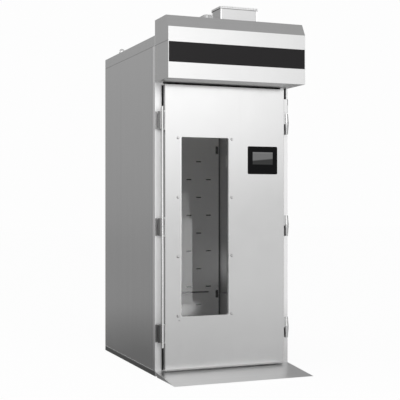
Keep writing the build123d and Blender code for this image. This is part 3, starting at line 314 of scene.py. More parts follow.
bm = bmesh.new()
bmesh.ops.create_grid(bm, x_segments=1, y_segments=1, size=GLOW_SHEET,
                      matrix=Matrix.Translation((*GLOW_PLACE, GLOW_LIFT)))
glow_mesh = bpy.data.meshes.new("lit_floor")
bm.to_mesh(glow_mesh)
bm.free()
lit_floor = bpy.data.objects.new("lit_floor", glow_mesh)
bpy.context.scene.collection.objects.link(lit_floor)
lit_floor.visible_camera = False
lit_floor.visible_shadow = False
lit_floor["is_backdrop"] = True

glow_paper = bpy.data.materials.new("lit_floor_paper")
glow_paper.use_nodes = True
tree = glow_paper.node_tree
tree.nodes.clear()
axes = add_node(tree, "ShaderNodeSeparateXYZ", {0: add_node(tree, "ShaderNodeTexCoord").outputs["Object"]})
lengthways = math_node(tree, "SUBTRACT", axes.outputs["Y"], GLOW_PLACE[1])
sideways = math_node(tree, "SUBTRACT", axes.outputs["X"], GLOW_PLACE[0])
slanted = math_node(tree, "ADD", sideways, math_node(tree, "MULTIPLY", lengthways, GLOW_SLANT))
across = math_node(tree, "POWER", math_node(tree, "DIVIDE", slanted, GLOW_WIDE), 2.0)
along = math_node(tree, "POWER", math_node(tree, "DIVIDE", lengthways, GLOW_LONG), 2.0)
out = math_node(tree, "SQRT", math_node(tree, "ADD", across, along))
glow = remap(tree, out, 0.0, 1.0, GLOW_STRENGTH, 0.0, "SMOOTHSTEP")
lit = add_node(tree, "ShaderNodeEmission", {"Color": grey(1.0), "Strength": glow})
clear = add_node(tree, "ShaderNodeBsdfTransparent")
over = add_node(tree, "ShaderNodeAddShader", {0: clear.outputs[0], 1: lit.outputs[0]})
shown = add_node(tree, "ShaderNodeMixShader",
                 {0: first_mirror(tree), 1: clear.outputs[0], 2: over.outputs[0]})
add_node(tree, "ShaderNodeOutputMaterial", {"Surface": shown.outputs[0]})
glow_mesh.materials.append(glow_paper)
print("lit floor at", GLOW_PLACE)


# %% [markdown]
# ## Two soft lamps
#
# One large lamp in front and above gives the door its light and rounds the small fittings. A
# second, weaker, fills in from the left so that the side of the cabinet isn't flat.

# %% Lamps
def soft_lamp(name, place, aim, size, power):
    """A square area lamp at a place, turned to its aim."""
    data = bpy.data.lights.new(name, "AREA")
    data.shape = "SQUARE"
    data.size = size
    data.energy = power
    lamp = bpy.data.objects.new(name, data)
    lamp.location = place
    lamp.rotation_euler = (Vector(aim) - Vector(place)).to_track_quat("-Z", "Y").to_euler()
    bpy.context.scene.collection.objects.link(lamp)
    return lamp


front_lamp = soft_lamp("front_lamp", (-1.6, -5.6, 4.4), (0, -0.6, 1.2), 2.6, 55)
side_lamp = soft_lamp("side_lamp", (-4.6, 0.4, 3.4), (0, 0, 1.2), 2.6, 18)
print("lamps", front_lamp.name, side_lamp.name)

# %% [markdown]
# ## Finish effects that several materials share
#
# Brushing leaves thousands of fine scratches that all run one way. A noise texture squeezed hard
# across the grain and stretched along it looks the same. It changes the brightness a little and
# gives a very low relief. The group puts out the streaks as a value and as a normal.


# %% Brushed grain group
def new_group(name, inputs, outputs):
    """An empty shader node group with the named sockets; a number beside a name is its default."""
    group = bpy.data.node_groups.new(name, "ShaderNodeTree")
    for label, kind, default in inputs:
        socket = group.interface.new_socket(name=label, in_out="INPUT", socket_type=kind)
        socket.default_value = default
    for label, kind in outputs:
        group.interface.new_socket(name=label, in_out="OUTPUT", socket_type=kind)
    return group, group.nodes.new("NodeGroupInput").outputs, group.nodes.new("NodeGroupOutput")


grain_group, given, result = new_group(
    "brushed_grain",
    [
        ("Across", "NodeSocketVector", (900.0, 900.0, 6.0)),
        ("Depth", "NodeSocketFloat", 0.02),
    ],
    [("Streaks", "NodeSocketFloat"), ("Normal", "NodeSocketVector")],
)
place = add_node(grain_group, "ShaderNodeTexCoord").outputs["Object"]
scaled = add_node(grain_group, "ShaderNodeVectorMath", {0: place, 1: given["Across"]}, operation="MULTIPLY")
streaks = add_node(grain_group, "ShaderNodeTexNoise",
                   {"Vector": scaled.outputs[0], "Scale": 1.0, "Detail": 3.0,
                    "Roughness": 0.6}).outputs["Fac"]
broad_scale = add_node(grain_group, "ShaderNodeVectorMath", {0: scaled.outputs[0], 1: (0.09, 0.09, 0.09)},
                       operation="MULTIPLY")
bands = add_node(grain_group, "ShaderNodeTexNoise",
                 {"Vector": broad_scale.outputs[0], "Scale": 1.0, "Detail": 2.0,
                  "Roughness": 0.5}).outputs["Fac"]
both_sizes = math_node(grain_group, "ADD", math_node(grain_group, "MULTIPLY", streaks, 0.6),
                       math_node(grain_group, "MULTIPLY", bands, 0.4))
relief = add_node(grain_group, "ShaderNodeBump",
                  {"Height": streaks, "Strength": given["Depth"], "Distance": 0.0004}).outputs["Normal"]
grain_group.links.new(both_sizes, result.inputs["Streaks"])
grain_group.links.new(relief, result.inputs["Normal"])
print("group", grain_group.name)

# %% [markdown]
# Sheet that has been wiped and leaned on is never evenly clean. Two sizes of cloudy noise give the
# broad drift in gloss of rolled sheet and the small patches left by hands and cloths.

# %% Handling marks group
marks_group, given, result = new_group(
    "handling_marks",
    [("Drift", "NodeSocketFloat", 1.4), ("Patches", "NodeSocketFloat", 11.0)],
    [("Cloud", "NodeSocketFloat")],
)
place = add_node(marks_group, "ShaderNodeTexCoord").outputs["Object"]
broad = add_node(marks_group, "ShaderNodeTexNoise",
                 {"Vector": place, "Scale": given["Drift"], "Detail": 2.0}).outputs["Fac"]
small = add_node(marks_group, "ShaderNodeTexNoise",
                 {"Vector": place, "Scale": given["Patches"], "Detail": 4.0,
                  "Distortion": 0.6}).outputs["Fac"]
cloud = math_node(marks_group, "ADD", math_node(marks_group, "MULTIPLY", broad, 0.65),
                  math_node(marks_group, "MULTIPLY", small, 0.35))
marks_group.links.new(cloud, result.inputs["Cloud"])
print("group", marks_group.name)

# %% [markdown]
# Two sheets that meet leave a hairline of shadow. On walls this size it is thinner than a millimetre
# and a half, so it is drawn as a level line: a mask that is one within a small distance of a height.

# %% Joint line group
joint_group, given, result = new_group(
    "joint_line",
    [("Level", "NodeSocketFloat", 2.23), ("Half Width", "NodeSocketFloat", 0.0012)],
    [("Mask", "NodeSocketFloat")],
)
place = add_node(joint_group, "ShaderNodeTexCoord").outputs["Object"]
level_here = add_node(joint_group, "ShaderNodeSeparateXYZ", {0: place}).outputs["Z"]
away = math_node(joint_group, "ABSOLUTE", math_node(joint_group, "SUBTRACT", level_here, given["Level"]))
line = math_node(joint_group, "LESS_THAN", away, given["Half Width"])
joint_group.links.new(line, result.inputs["Mask"])
print("group", joint_group.name)

# %% [markdown]
# Some painted shade changes round a corner: the folded side of the door is painted darker than its
# face. The object's own normal tells the sides from the front.

# %% Side mask group
side_group, given, result = new_group(
    "side_mask",
    [("Least", "NodeSocketFloat", 0.7)],
    [("Left", "NodeSocketFloat"), ("Both", "NodeSocketFloat"), ("Front", "NodeSocketFloat")],
)
facing = add_node(side_group, "ShaderNodeTexCoord").outputs["Normal"]
axes = add_node(side_group, "ShaderNodeSeparateXYZ", {0: facing})
to_left = math_node(side_group, "MULTIPLY", axes.outputs["X"], -1.0)
to_front = math_node(side_group, "MULTIPLY", axes.outputs["Y"], -1.0)
either = math_node(side_group, "ABSOLUTE", axes.outputs["X"])
for label, value in (("Left", to_left), ("Both", either), ("Front", to_front)):
    mask = math_node(side_group, "GREATER_THAN", value, given["Least"])
    side_group.links.new(mask, result.inputs[label])
print("group", side_group.name)

# %% [markdown]
# ## Stainless sheet
#
# The metal itself is a neutral pale grey, and rough enough to blur the room into soft gradients.
# The grain runs upwards on the walls and the door and sideways on the canopy, so the direction of
# the squeeze is given for each piece. A finish may also carry a shade, which is a value of its own
# that darkens or lightens parts of the piece, and a painted highlight: a pale line along the foot of
# the wall.

# %% Steel
VERTICAL = (700.0, 700.0, 5.0)
SIDEWAYS = (5.0, 700.0, 700.0)
LENGTHWAYS = (700.0, 5.0, 700.0)


def steel(name, tone, grain, rough=0.24, spread=0.03, depth=0.02, streak=0.16, tint=(1.0, 1.0, 1.0),
          joint=None, foot_highlight=None, shade=None):
    """Brushed stainless steel of a tone, with its grain running one way and a joint line if it has one."""
    material = bpy.data.materials.new(name)
    material.use_nodes = True
    tree = material.node_tree
    shader = tree.nodes["Principled BSDF"]
    shader.inputs["Metallic"].default_value = 1.0
    brushed = add_node(tree, "ShaderNodeGroup", node_tree=grain_group)
    brushed.inputs["Across"].default_value = grain
    brushed.inputs["Depth"].default_value = depth
    marks = add_node(tree, "ShaderNodeGroup", node_tree=marks_group)
    light = remap(tree, brushed.outputs["Streaks"], 0.3, 0.7, -1.0, 1.0)
    cloud = remap(tree, marks.outputs["Cloud"], 0.35, 0.65, -1.0, 1.0)
    change = math_node(tree, "ADD", math_node(tree, "MULTIPLY", light, streak),
                       math_node(tree, "MULTIPLY", cloud, 0.05))
    level = math_node(tree, "ADD", change, 0.5)
    dark = tuple(tone * c * 0.88 for c in tint) + (1.0,)
    bright = tuple(tone * c * 1.12 for c in tint) + (1.0,)
    colour = mix_colour(tree, level, dark, bright)
    if joint:
        line = add_node(tree, "ShaderNodeGroup", node_tree=joint_group)
        line.inputs["Level"].default_value = joint
        colour = mix_colour(tree, line.outputs["Mask"], colour, grey(JOINT_SHADE * tone))
    if shade:
        colour = mix_colour(tree, 1.0, colour, shade(tree), blend="MULTIPLY")
    # Painted highlight: a pale line that is not metal, along the foot of the wall.
    if foot_highlight:
        highlight_line = add_node(tree, "ShaderNodeGroup", node_tree=joint_group)
        highlight_line.inputs["Level"].default_value = foot_highlight
        highlight_line.inputs["Half Width"].default_value = FOOT_HIGHLIGHT_HALF
        colour = mix_colour(tree, highlight_line.outputs["Mask"], colour, grey(FOOT_HIGHLIGHT_TONE))
        tree.links.new(math_node(tree, "SUBTRACT", 1.0, highlight_line.outputs["Mask"]), shader.inputs["Metallic"])
    tree.links.new(colour, shader.inputs["Base Color"])
    tree.links.new(remap(tree, cloud, -1.0, 1.0, rough - spread, rough + spread), shader.inputs["Roughness"])
    tree.links.new(brushed.outputs["Normal"], shader.inputs["Normal"])
    return material


print("steel maker ready")

# %% [markdown]
# ## Shades
#
# In the photograph the same steel is light in one place and dark in another, from lamps and dark
# things in a room that is not in the picture. A shade stands for that: it multiplies the colour of
# a piece by height or by side. It is set for one view and does not stand for wear or paint.
# A fade gives two places in metres and the shade at each of them.

# %% Shades
DOOR_SIDE_SHADE = 0.32
CHAMBER_FADE = (0.40, 1.60, 1.0, 0.72)
REAR_WALL_SHADE = 0.06
PATCH_RISE, PATCH_FALL = (0.45, 0.65, 0.0, 1.0), (0.65, 0.88, 1.0, 0.0)
PATCH_RANGE = (0.60, 1.35)
STILE_FADE = (0.08, 0.50, 0.70, 1.00)
LATCH_FADE = (0.29, 1.73, 0.42, 1.00)
KEEPER_FADE = (-0.498, -0.484, 0.72, 1.30)
LEVER_FADE = (-0.479, -0.471, 0.28, 1.0)
BAR_FADE = (0.50, 1.70, 1.15, 0.60)
BAR_SIDE_SHADE, BAR_SIDE_LEAST = 0.35, 0.88


def coordinate(tree, axis):
    """The object's own coordinate along one axis."""
    place = add_node(tree, "ShaderNodeTexCoord").outputs["Object"]
    return add_node(tree, "ShaderNodeSeparateXYZ", {0: place}).outputs[axis]


def door_shade(tree):
    """Painted shade: the door's folded sides are darker than its face."""
    sides = add_node(tree, "ShaderNodeGroup", node_tree=side_group)
    return remap(tree, sides.outputs["Both"], 0.0, 1.0, 1.0, DOOR_SIDE_SHADE)


def chamber_shade(tree):
    """Painted light: the chamber's sheet is brighter low down."""
    return remap(tree, coordinate(tree, "Z"), *CHAMBER_FADE)


def rear_wall_shade(tree):
    """Painted shade: the rear wall is nearly black behind the slotted panel, so that the slots show dark."""
    sides = add_node(tree, "ShaderNodeGroup", node_tree=side_group)
    return remap(tree, sides.outputs["Front"], 0.0, 1.0, 1.0, REAR_WALL_SHADE)


def right_wall_shade(tree):
    """Painted shade: the chamber's right wall is dark, with one painted highlight low down."""
    height = coordinate(tree, "Z")
    rise = remap(tree, height, *PATCH_RISE, "SMOOTHSTEP")
    fall = remap(tree, height, *PATCH_FALL, "SMOOTHSTEP")
    patch = remap(tree, math_node(tree, "MULTIPLY", rise, fall), 0.0, 1.0, *PATCH_RANGE)
    sides = add_node(tree, "ShaderNodeGroup", node_tree=side_group)
    return mix_colour(tree, sides.outputs["Left"], grey(1.0), patch)


def stile_shade(tree):
    """Painted shade: the stiles are darker near the floor."""
    return remap(tree, coordinate(tree, "Z"), *STILE_FADE)


def latch_shade(tree):
    """Painted shade: the latch parts are darker lower down."""
    return remap(tree, coordinate(tree, "Z"), *LATCH_FADE)


def keeper_shade(tree):
    """Painted shade and light: a keeper is darker at its outer edge and brighter on its face."""
    return math_node(tree, "MULTIPLY", remap(tree, coordinate(tree, "X"), *KEEPER_FADE), latch_shade(tree))


def lever_shade(tree):
    """Painted shade and light: a lever's claw is dark and its arm is brighter."""
    arm = remap(tree, coordinate(tree, "X"), *LEVER_FADE, "SMOOTHSTEP")
    return math_node(tree, "MULTIPLY", arm, latch_shade(tree))


def bar_shade(tree):
    """Painted light and shade: the bar is brighter towards its foot and darker on its left side."""
    upright = remap(tree, coordinate(tree, "Z"), *BAR_FADE)
    sides = add_node(tree, "ShaderNodeGroup", node_tree=side_group)
    sides.inputs["Least"].default_value = BAR_SIDE_LEAST
    left = remap(tree, sides.outputs["Left"], 0.0, 1.0, 1.0, BAR_SIDE_SHADE)
    return math_node(tree, "MULTIPLY", upright, left)


print("shades ready")

# %% [markdown]
# ## The steels
#
# One steel for each kind of piece, from the same maker. Most tones are lighter or darker copies of
# one stainless steel, set for the light and shade that falls on each piece: painted light and shade.
# The chamber's steel is set to be less of a metal than it is, which lifts its tone behind the glass
# to that of the photograph.

# %% Steels
STEEL_TONE = 0.70
JOINT_SHADE = 0.16
FOOT_HIGHLIGHT_TONE, FOOT_HIGHLIGHT_HALF = 0.55, 0.0016
CHAMBER_METAL = 0.55
ROOF_JOINT, FOOT_HIGHLIGHT_LEVEL = 2.2300, 0.0346
wall_steel = steel("wall_steel", STEEL_TONE, VERTICAL, joint=ROOF_JOINT, foot_highlight=FOOT_HIGHLIGHT_LEVEL)
rear_wall_steel = steel("rear_wall_steel", STEEL_TONE, VERTICAL, joint=ROOF_JOINT, foot_highlight=FOOT_HIGHLIGHT_LEVEL,
                        shade=rear_wall_shade)
right_wall_steel = steel("right_wall_steel", STEEL_TONE, VERTICAL, rough=0.40, joint=ROOF_JOINT,
                         foot_highlight=FOOT_HIGHLIGHT_LEVEL, shade=right_wall_shade)
stile_steel = steel("stile_steel", 0.95, VERTICAL, rough=0.42, streak=0.05, shade=stile_shade)
door_steel = steel("door_steel", STEEL_TONE, VERTICAL, rough=0.18, streak=0.05, shade=door_shade)
canopy_steel = steel("canopy_steel", STEEL_TONE, SIDEWAYS, streak=0.08)
underside_steel = steel("underside_steel", 0.78, SIDEWAYS, rough=0.50, streak=0.08)
roof_steel = steel("roof_steel", STEEL_TONE, LENGTHWAYS, joint=ROOF_JOINT)
cap_steel = steel("cap_steel", 0.92, LENGTHWAYS, rough=0.45, streak=0.05)
outlet_steel = steel("outlet_steel", 0.67, VERTICAL, rough=0.34, streak=0.05)
ramp_steel = steel("ramp_steel", 0.73, SIDEWAYS, rough=0.34, spread=0.02)
chamber_steel = steel("chamber_steel", 0.98, VERTICAL, rough=0.42, shade=chamber_shade)
chamber_steel.node_tree.nodes["Principled BSDF"].inputs["Metallic"].default_value = CHAMBER_METAL
small_steel = steel("small_steel", 0.62, VERTICAL, rough=0.26, depth=0.01)
# Painted shade: the floor panel's edge is much darker than the walls.
base_steel = steel("base_steel", 0.24, SIDEWAYS, rough=0.42)
# Painted light: the threshold is lighter, to lift the shade under the door.
sill_steel = steel("sill_steel", 0.85, SIDEWAYS, rough=0.50)
hinge_steel = steel("hinge_steel", 0.60, VERTICAL, rough=0.40)
# Painted shade: the rails are dark, for the shadow line they cast.
rail_steel = steel("rail_steel", 0.22, VERTICAL, rough=0.38)
keeper_steel = steel("keeper_steel", 0.58, VERTICAL, rough=0.50, streak=0.05, shade=keeper_shade)
lever_steel = steel("lever_steel", 0.80, VERTICAL, rough=0.50, streak=0.05, shade=lever_shade)
bracket_steel = steel("bracket_steel", 0.95, VERTICAL, rough=0.30, depth=0.01)
screw_steel = steel("screw_steel", 0.95, VERTICAL, rough=0.22, depth=0.01)
bar_steel = steel("bar_steel", 1.0, VERTICAL, rough=0.18, spread=0.02, depth=0.005, shade=bar_shade)
print("steels", wall_steel.name, door_steel.name, canopy_steel.name)

# %% [markdown]
# ## Plastics, rubber and paint
#
# The other finishes are simpler: a colour, a gloss, and a fine moulded texture from small noise.


# %% Moulded finishes
def moulded(name, colour, rough, texture=450.0, depth=0.06, coat=0.0, shine=0.5):
    """Plastic, rubber or paint with a fine texture."""
    material = bpy.data.materials.new(name)
    material.use_nodes = True
    tree = material.node_tree
    shader = tree.nodes["Principled BSDF"]
    shader.inputs["Coat Weight"].default_value = coat
    shader.inputs["Specular IOR Level"].default_value = shine
    place = add_node(tree, "ShaderNodeTexCoord").outputs["Object"]
    fine = add_node(tree, "ShaderNodeTexNoise",
                    {"Vector": place, "Scale": texture, "Detail": 2.0}).outputs["Fac"]
    marks = add_node(tree, "ShaderNodeGroup", node_tree=marks_group)
    dark = tuple(c * 0.88 for c in colour) + (1.0,)
    bright = tuple(min(1.0, c * 1.12) for c in colour) + (1.0,)
    tree.links.new(mix_colour(tree, marks.outputs["Cloud"], dark, bright), shader.inputs["Base Color"])
    tree.links.new(remap(tree, marks.outputs["Cloud"], 0.3, 0.7, rough * 0.85, rough * 1.15),
                   shader.inputs["Roughness"])
    relief = add_node(tree, "ShaderNodeBump", {"Height": fine, "Strength": depth, "Distance": 0.0003})
    tree.links.new(relief.outputs["Normal"], shader.inputs["Normal"])
    return material


band_film = moulded("band_film", (0.014, 0.013, 0.014), 0.40, depth=0.02, shine=0.18)
panel_glass = moulded("panel_glass", (0.005, 0.005, 0.0055), 0.14, depth=0.0, shine=0.06)
# Black rubber for the door gasket; the same black is painted shade on the strips, rings and pads further
# down.
rubber_and_painted_shade = moulded("rubber_and_painted_shade", (0.022, 0.022, 0.022), 0.65, shine=0.3)
# The sweep's pale grey also lifts the shade under the door, so it is partly painted light.
sweep_rubber = moulded("sweep_rubber", (0.60, 0.60, 0.60), 0.6, shine=0.3)
white_plastic = moulded("white_plastic", (0.72, 0.72, 0.71), 0.45)
grey_plastic = moulded("grey_plastic", (0.52, 0.52, 0.52), 0.5)
black_plastic = moulded("black_plastic", (0.03, 0.03, 0.032), 0.45)
foam_core = moulded("foam_core", (0.70, 0.62, 0.40), 0.9, texture=120.0, depth=0.4)
motor_paint = moulded("motor_paint", (0.09, 0.095, 0.10), 0.45)
print("moulded finishes ready")

# %% [markdown]
# ## The screen
#
# The display's upper part glows a plain grey and its lower part is darker, with a soft slanted edge
# between them, and a narrow lighter strip runs along the top. All of it is a gradient over the
# height of the screen, tilted a little by the sideways place.

# %% Screen
SCREEN_MIDDLE = (0.2775, 1.481)
SCREEN_HALF = (0.077, 0.043)
SCREEN_DARK, SCREEN_LIT = 0.030, 0.150

screen_glow = bpy.data.materials.new("screen_glow")
screen_glow.use_nodes = True
tree = screen_glow.node_tree
shader = tree.nodes["Principled BSDF"]
shader.inputs["Base Color"].default_value = grey(0.01)
shader.inputs["Specular IOR Level"].default_value = 0.08
shader.inputs["Emission Strength"].default_value = 1.0
place = add_node(tree, "ShaderNodeTexCoord").outputs["Object"]
axes = add_node(tree, "ShaderNodeSeparateXYZ", {0: place})
screen_left, screen_right = SCREEN_MIDDLE[0] - SCREEN_HALF[0], SCREEN_MIDDLE[0] + SCREEN_HALF[0]
sideways = remap(tree, axes.outputs["X"], screen_left, screen_right, -0.008, 0.007)
edge = math_node(tree, "SUBTRACT", math_node(tree, "SUBTRACT", axes.outputs["Z"], SCREEN_MIDDLE[1] - 0.010),
                 sideways)
body_glow = remap(tree, edge, -0.004, 0.006, SCREEN_DARK, SCREEN_LIT, "SMOOTHSTEP")
top_strip = remap(tree, axes.outputs["Z"], SCREEN_MIDDLE[1] + 0.033, SCREEN_MIDDLE[1] + 0.037, 0.0, 0.035)
wear = add_node(tree, "ShaderNodeGroup", node_tree=marks_group)
uneven = remap(tree, wear.outputs["Cloud"], 0.3, 0.7, 0.96, 1.04)
glow = math_node(tree, "MULTIPLY", math_node(tree, "ADD", body_glow, top_strip), uneven)
tree.links.new(glow, shader.inputs["Emission Color"])
tree.links.new(remap(tree, wear.outputs["Cloud"], 0.3, 0.7, 0.18, 0.26), shader.inputs["Roughness"])
print("screen from", SCREEN_DARK, "to", SCREEN_LIT)

# %% [markdown]
# ## Glass
#
# Two clear panes with a faint grey cast. The panes are perfectly smooth, and daylight has to reach
# the chamber through them, so shadow rays and diffuse rays pass straight through and only the
# camera and the metal see the refraction.

# %% Glass
clear_glass = bpy.data.materials.new("clear_glass")
clear_glass.use_nodes = True
tree = clear_glass.node_tree
shader = tree.nodes["Principled BSDF"]
shader.inputs["Transmission Weight"].default_value = 1.0
shader.inputs["Roughness"].default_value = 0.0
shader.inputs["IOR"].default_value = 1.45
marks = add_node(tree, "ShaderNodeGroup", node_tree=marks_group)
cast = mix_colour(tree, remap(tree, marks.outputs["Cloud"], 0.3, 0.7, 0.0, 1.0),
                  (0.970, 0.970, 0.970, 1.0), (0.990, 0.990, 0.990, 1.0))
tree.links.new(cast, shader.inputs["Base Color"])
path = add_node(tree, "ShaderNodeLightPath").outputs
passing = math_node(tree, "MAXIMUM", path["Is Shadow Ray"], path["Is Diffuse Ray"])
through = add_node(tree, "ShaderNodeBsdfTransparent", {"Color": grey(0.96)})
pane = add_node(tree, "ShaderNodeMixShader", {0: passing, 1: shader.outputs[0], 2: through.outputs[0]})
tree.links.new(pane.outputs[0], tree.nodes["Material Output"].inputs["Surface"])
print("glass ready")

# %% [markdown]
# ## The lamp's diffuser
#
# The chamber lamp is a milky plastic box that glows by itself. The glow is much stronger than a
# real lamp's, because it has to show the slots and the rails through the window.

# %% Lamp diffuser
LAMP_GLOW = 9.0
LAMP_TINT = (1.0, 0.98, 0.94, 1.0)
lamp_diffuser = moulded("lamp_diffuser", (0.80, 0.80, 0.78), 0.4)
shader = lamp_diffuser.node_tree.nodes["Principled BSDF"]
shader.inputs["Emission Color"].default_value = LAMP_TINT
shader.inputs["Emission Strength"].default_value = LAMP_GLOW
print("lamp glow", LAMP_GLOW)

# %% [markdown]
# ## Other metals
#
# Copper, brass and aluminium use the same brushed effect with their own colours.

# %% Coloured metals
copper = steel("copper", 1.0, VERTICAL, rough=0.3, tint=(0.62, 0.30, 0.18))
brass = steel("brass", 1.0, VERTICAL, rough=0.3, tint=(0.60, 0.44, 0.20))
aluminium = steel("aluminium", 0.72, VERTICAL, rough=0.35)
print("coloured metals ready")

# %% [markdown]
# ## Giving each solid its finish
#
# One table names the finish of every solid. The material goes into the slots of the solid's own
# object, which leaves its mesh as it came.

# %% Finishes by node
finishes = {
    wall_steel: ["left_wall_panel"],
    rear_wall_steel: ["rear_wall_panel"],
    right_wall_steel: ["right_wall_panel"],
    stile_steel: ["left_stile", "right_stile"],
    canopy_steel: ["canopy_cover", "canopy_back", "header"],
    underside_steel: ["canopy_underside"],
    roof_steel: ["roof_panel", "canopy_left_side", "canopy_right_side"],
    cap_steel: ["vent_cap"],
    outlet_steel: ["vent_duct"],
    door_steel: ["door_outer_pan", "door_inner_pan", "door_cable_box", "cable_elbow"],
    ramp_steel: ["ramp"],
    chamber_steel: ["duct_panel", "false_ceiling", "drip_tray", "fan_guards", "glass_spacer"],
    small_steel: ["hinge_pins", "hinge_door_leaves", "handle_pins", "lifting_eyes", "damper_flap",
                  "drain_pipe"],
    screw_steel: ["window_screws"],
    bracket_steel: ["handle_brackets"],
    base_steel: ["floor_panel"],
    sill_steel: ["threshold_plate"],
    hinge_steel: ["hinge_frame_leaves"],
    rail_steel: ["bumper_rails", "heater_rods"],
    keeper_steel: ["handle_keepers"],
    lever_steel: ["handle_levers"],
    bar_steel: ["handle_bar"],
    band_film: ["front_band"],
    panel_glass: ["touch_panel"],
    screen_glow: ["display_screen"],
    rubber_and_painted_shade: ["door_gasket"],
    sweep_rubber: ["door_sweep"],
    white_plastic: ["switchgear", "climate_probe"],
    lamp_diffuser: ["chamber_lamp"],
    grey_plastic: ["door_switch", "actuator_housing"],
    black_plastic: ["power_gland"],
    foam_core: ["door_core"],
    motor_paint: ["fan_motors"],
    clear_glass: ["outer_glass", "inner_glass"],
    copper: ["refrigerant_pipes"],
    brass: ["water_inlet"],
    aluminium: ["evaporator_coil", "fan_left", "fan_right"],
}
for finish, names in finishes.items():
    for name in names:
        for held in nodes[name].material_slots:
            held.material = finish
left_over = set(nodes) - {name for names in finishes.values() for name in names}
print("nodes without a finish:", sorted(left_over))

# %% [markdown]
# ## Making trim
#
# Much of the small trim on this cabinet is a frame: a rectangle of strip with some profile across
# it. Insetting a rectangle again and again, with a depth each time, draws the profile and mitres the
# corners by itself. The middle is then thrown away and the open edges are pulled back and joined.


# %% Trim helpers
def finish_piece(bm, name, finish, body, smooth=False):
    """Turns a bmesh into a piece that rides on a body and takes its finish from a slot."""
    bmesh.ops.recalc_face_normals(bm, faces=bm.faces)
    for face in bm.faces:
        face.smooth = smooth
    mesh = bpy.data.meshes.new(name)
    bm.to_mesh(mesh)
    bm.free()
    mesh.materials.append(finish)
    piece = bpy.data.objects.new(name, mesh)
    bpy.context.scene.collection.objects.link(piece)
    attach(piece, body)
    print(name, len(mesh.polygons), "faces on", body)
    return piece


def profile_frame(bm, x_span, z_span, y_face, y_back, profile):
    """A mitred frame that faces the front; profile lists (inset, height) steps from its outer edge."""
    middle = Matrix.Translation(((x_span[0] + x_span[1]) / 2, y_face, (z_span[0] + z_span[1]) / 2))
    spread = Matrix.Diagonal((x_span[1] - x_span[0], z_span[1] - z_span[0], 1.0, 1.0))
    made = bmesh.ops.create_grid(bm, x_segments=1, y_segments=1, size=0.5,
                                 matrix=middle @ Matrix.Rotation(pi / 2, 4, "X") @ spread)
    centre = made["verts"][0].link_faces[0]
    rings = set(made["verts"])
    for inset, height in profile:
        ring = bmesh.ops.inset_region(bm, faces=[centre], thickness=inset, depth=height,
                                      use_even_offset=True, use_boundary=True)
        rings.update(vert for face in ring["faces"] for vert in face.verts)
    bmesh.ops.delete(bm, geom=[centre], context="FACES_ONLY")
    rim = [edge for edge in bm.edges if edge.is_boundary and set(edge.verts) <= rings]
    pulled = bmesh.ops.extrude_edge_only(bm, edges=rim)["geom"]
    for vert in pulled:
        if isinstance(vert, bmesh.types.BMVert):
            vert.co.y = y_back
    behind = [item for item in pulled if isinstance(item, bmesh.types.BMEdge)]
    bmesh.ops.bridge_loops(bm, edges=behind)


def rod(bm, start, end, radius, sides=16):
    """A capped round rod between two points."""
    start, end = Vector(start), Vector(end)
    turn = (end - start).to_track_quat("Z", "Y").to_matrix().to_4x4()
    place = Matrix.Translation((start + end) / 2) @ turn
    return bmesh.ops.create_cone(bm, cap_ends=True, segments=sides, radius1=radius, radius2=radius,
                                 depth=(end - start).length, matrix=place)["verts"]


def plate(bm, low, high, edge=0.0004):
    """A plate between two corners with softened edges."""
    low, high = Vector(low), Vector(high)
    size = high - low
    made = bmesh.ops.create_cube(bm, size=1.0, matrix=Matrix.Translation((low + high) / 2)
                                 @ Matrix.Diagonal((size.x, size.y, size.z, 1.0)))["verts"]
    edges = {e for vert in made for e in vert.link_edges}
    bmesh.ops.bevel(bm, geom=list(edges), offset=edge, segments=2, profile=0.5, affect="EDGES", material=-1)


print("trim helpers ready")

# %% [markdown]
# ## Beads round the window
#
# The door's sheet is folded back round the window, and the fold shows as a thin bright rim. It is a
# low frame that just covers the cut edge of the sheet.

# %% Window bead
SIGHT_X = (-0.328, 0.019)
SIGHT_Z = (0.401, 1.616)
DOOR_FACE = -0.657
BEAD = 0.0045

# A brighter copy of the door's steel, so the rim is partly a painted highlight.
bead_steel = steel("bead_steel", 0.95, VERTICAL, rough=0.28, streak=0.05)
bm = bmesh.new()
profile_frame(bm, (SIGHT_X[0] - BEAD, SIGHT_X[1] + BEAD), (SIGHT_Z[0] - BEAD, SIGHT_Z[1] + BEAD),
              DOOR_FACE, DOOR_FACE + 0.0005, [(0.0012, 0.0010), (0.0022, 0.0002), (0.0010, -0.0010)])
window_bead = finish_piece(bm, "window_bead", bead_steel, "door")

# %% [markdown]
# ## Painted shadows round the window screws
#
# A dark line runs round each screw, widest at the lower left. It is a painted shadow: a black ring
# set a little down and to the left of the screw's axis. A ring is a small circle spun round its axis.
# The dark dot below the lower left screw was taken to be a plug of the same black.

# %% Screw rings
SCREW_COLUMNS = (-0.3525, 0.0435)
SCREW_LEVELS = (0.4070, 0.8080, 1.2090, 1.6100)
RING_RADIUS, RING_HALF = 0.0063, 0.0020
SHADOW_OFFSET = Vector((-0.0014, 0.0, -0.0012))
PLUG_PLACE, PLUG_RADIUS = (-0.3450, 0.3750), 0.0030

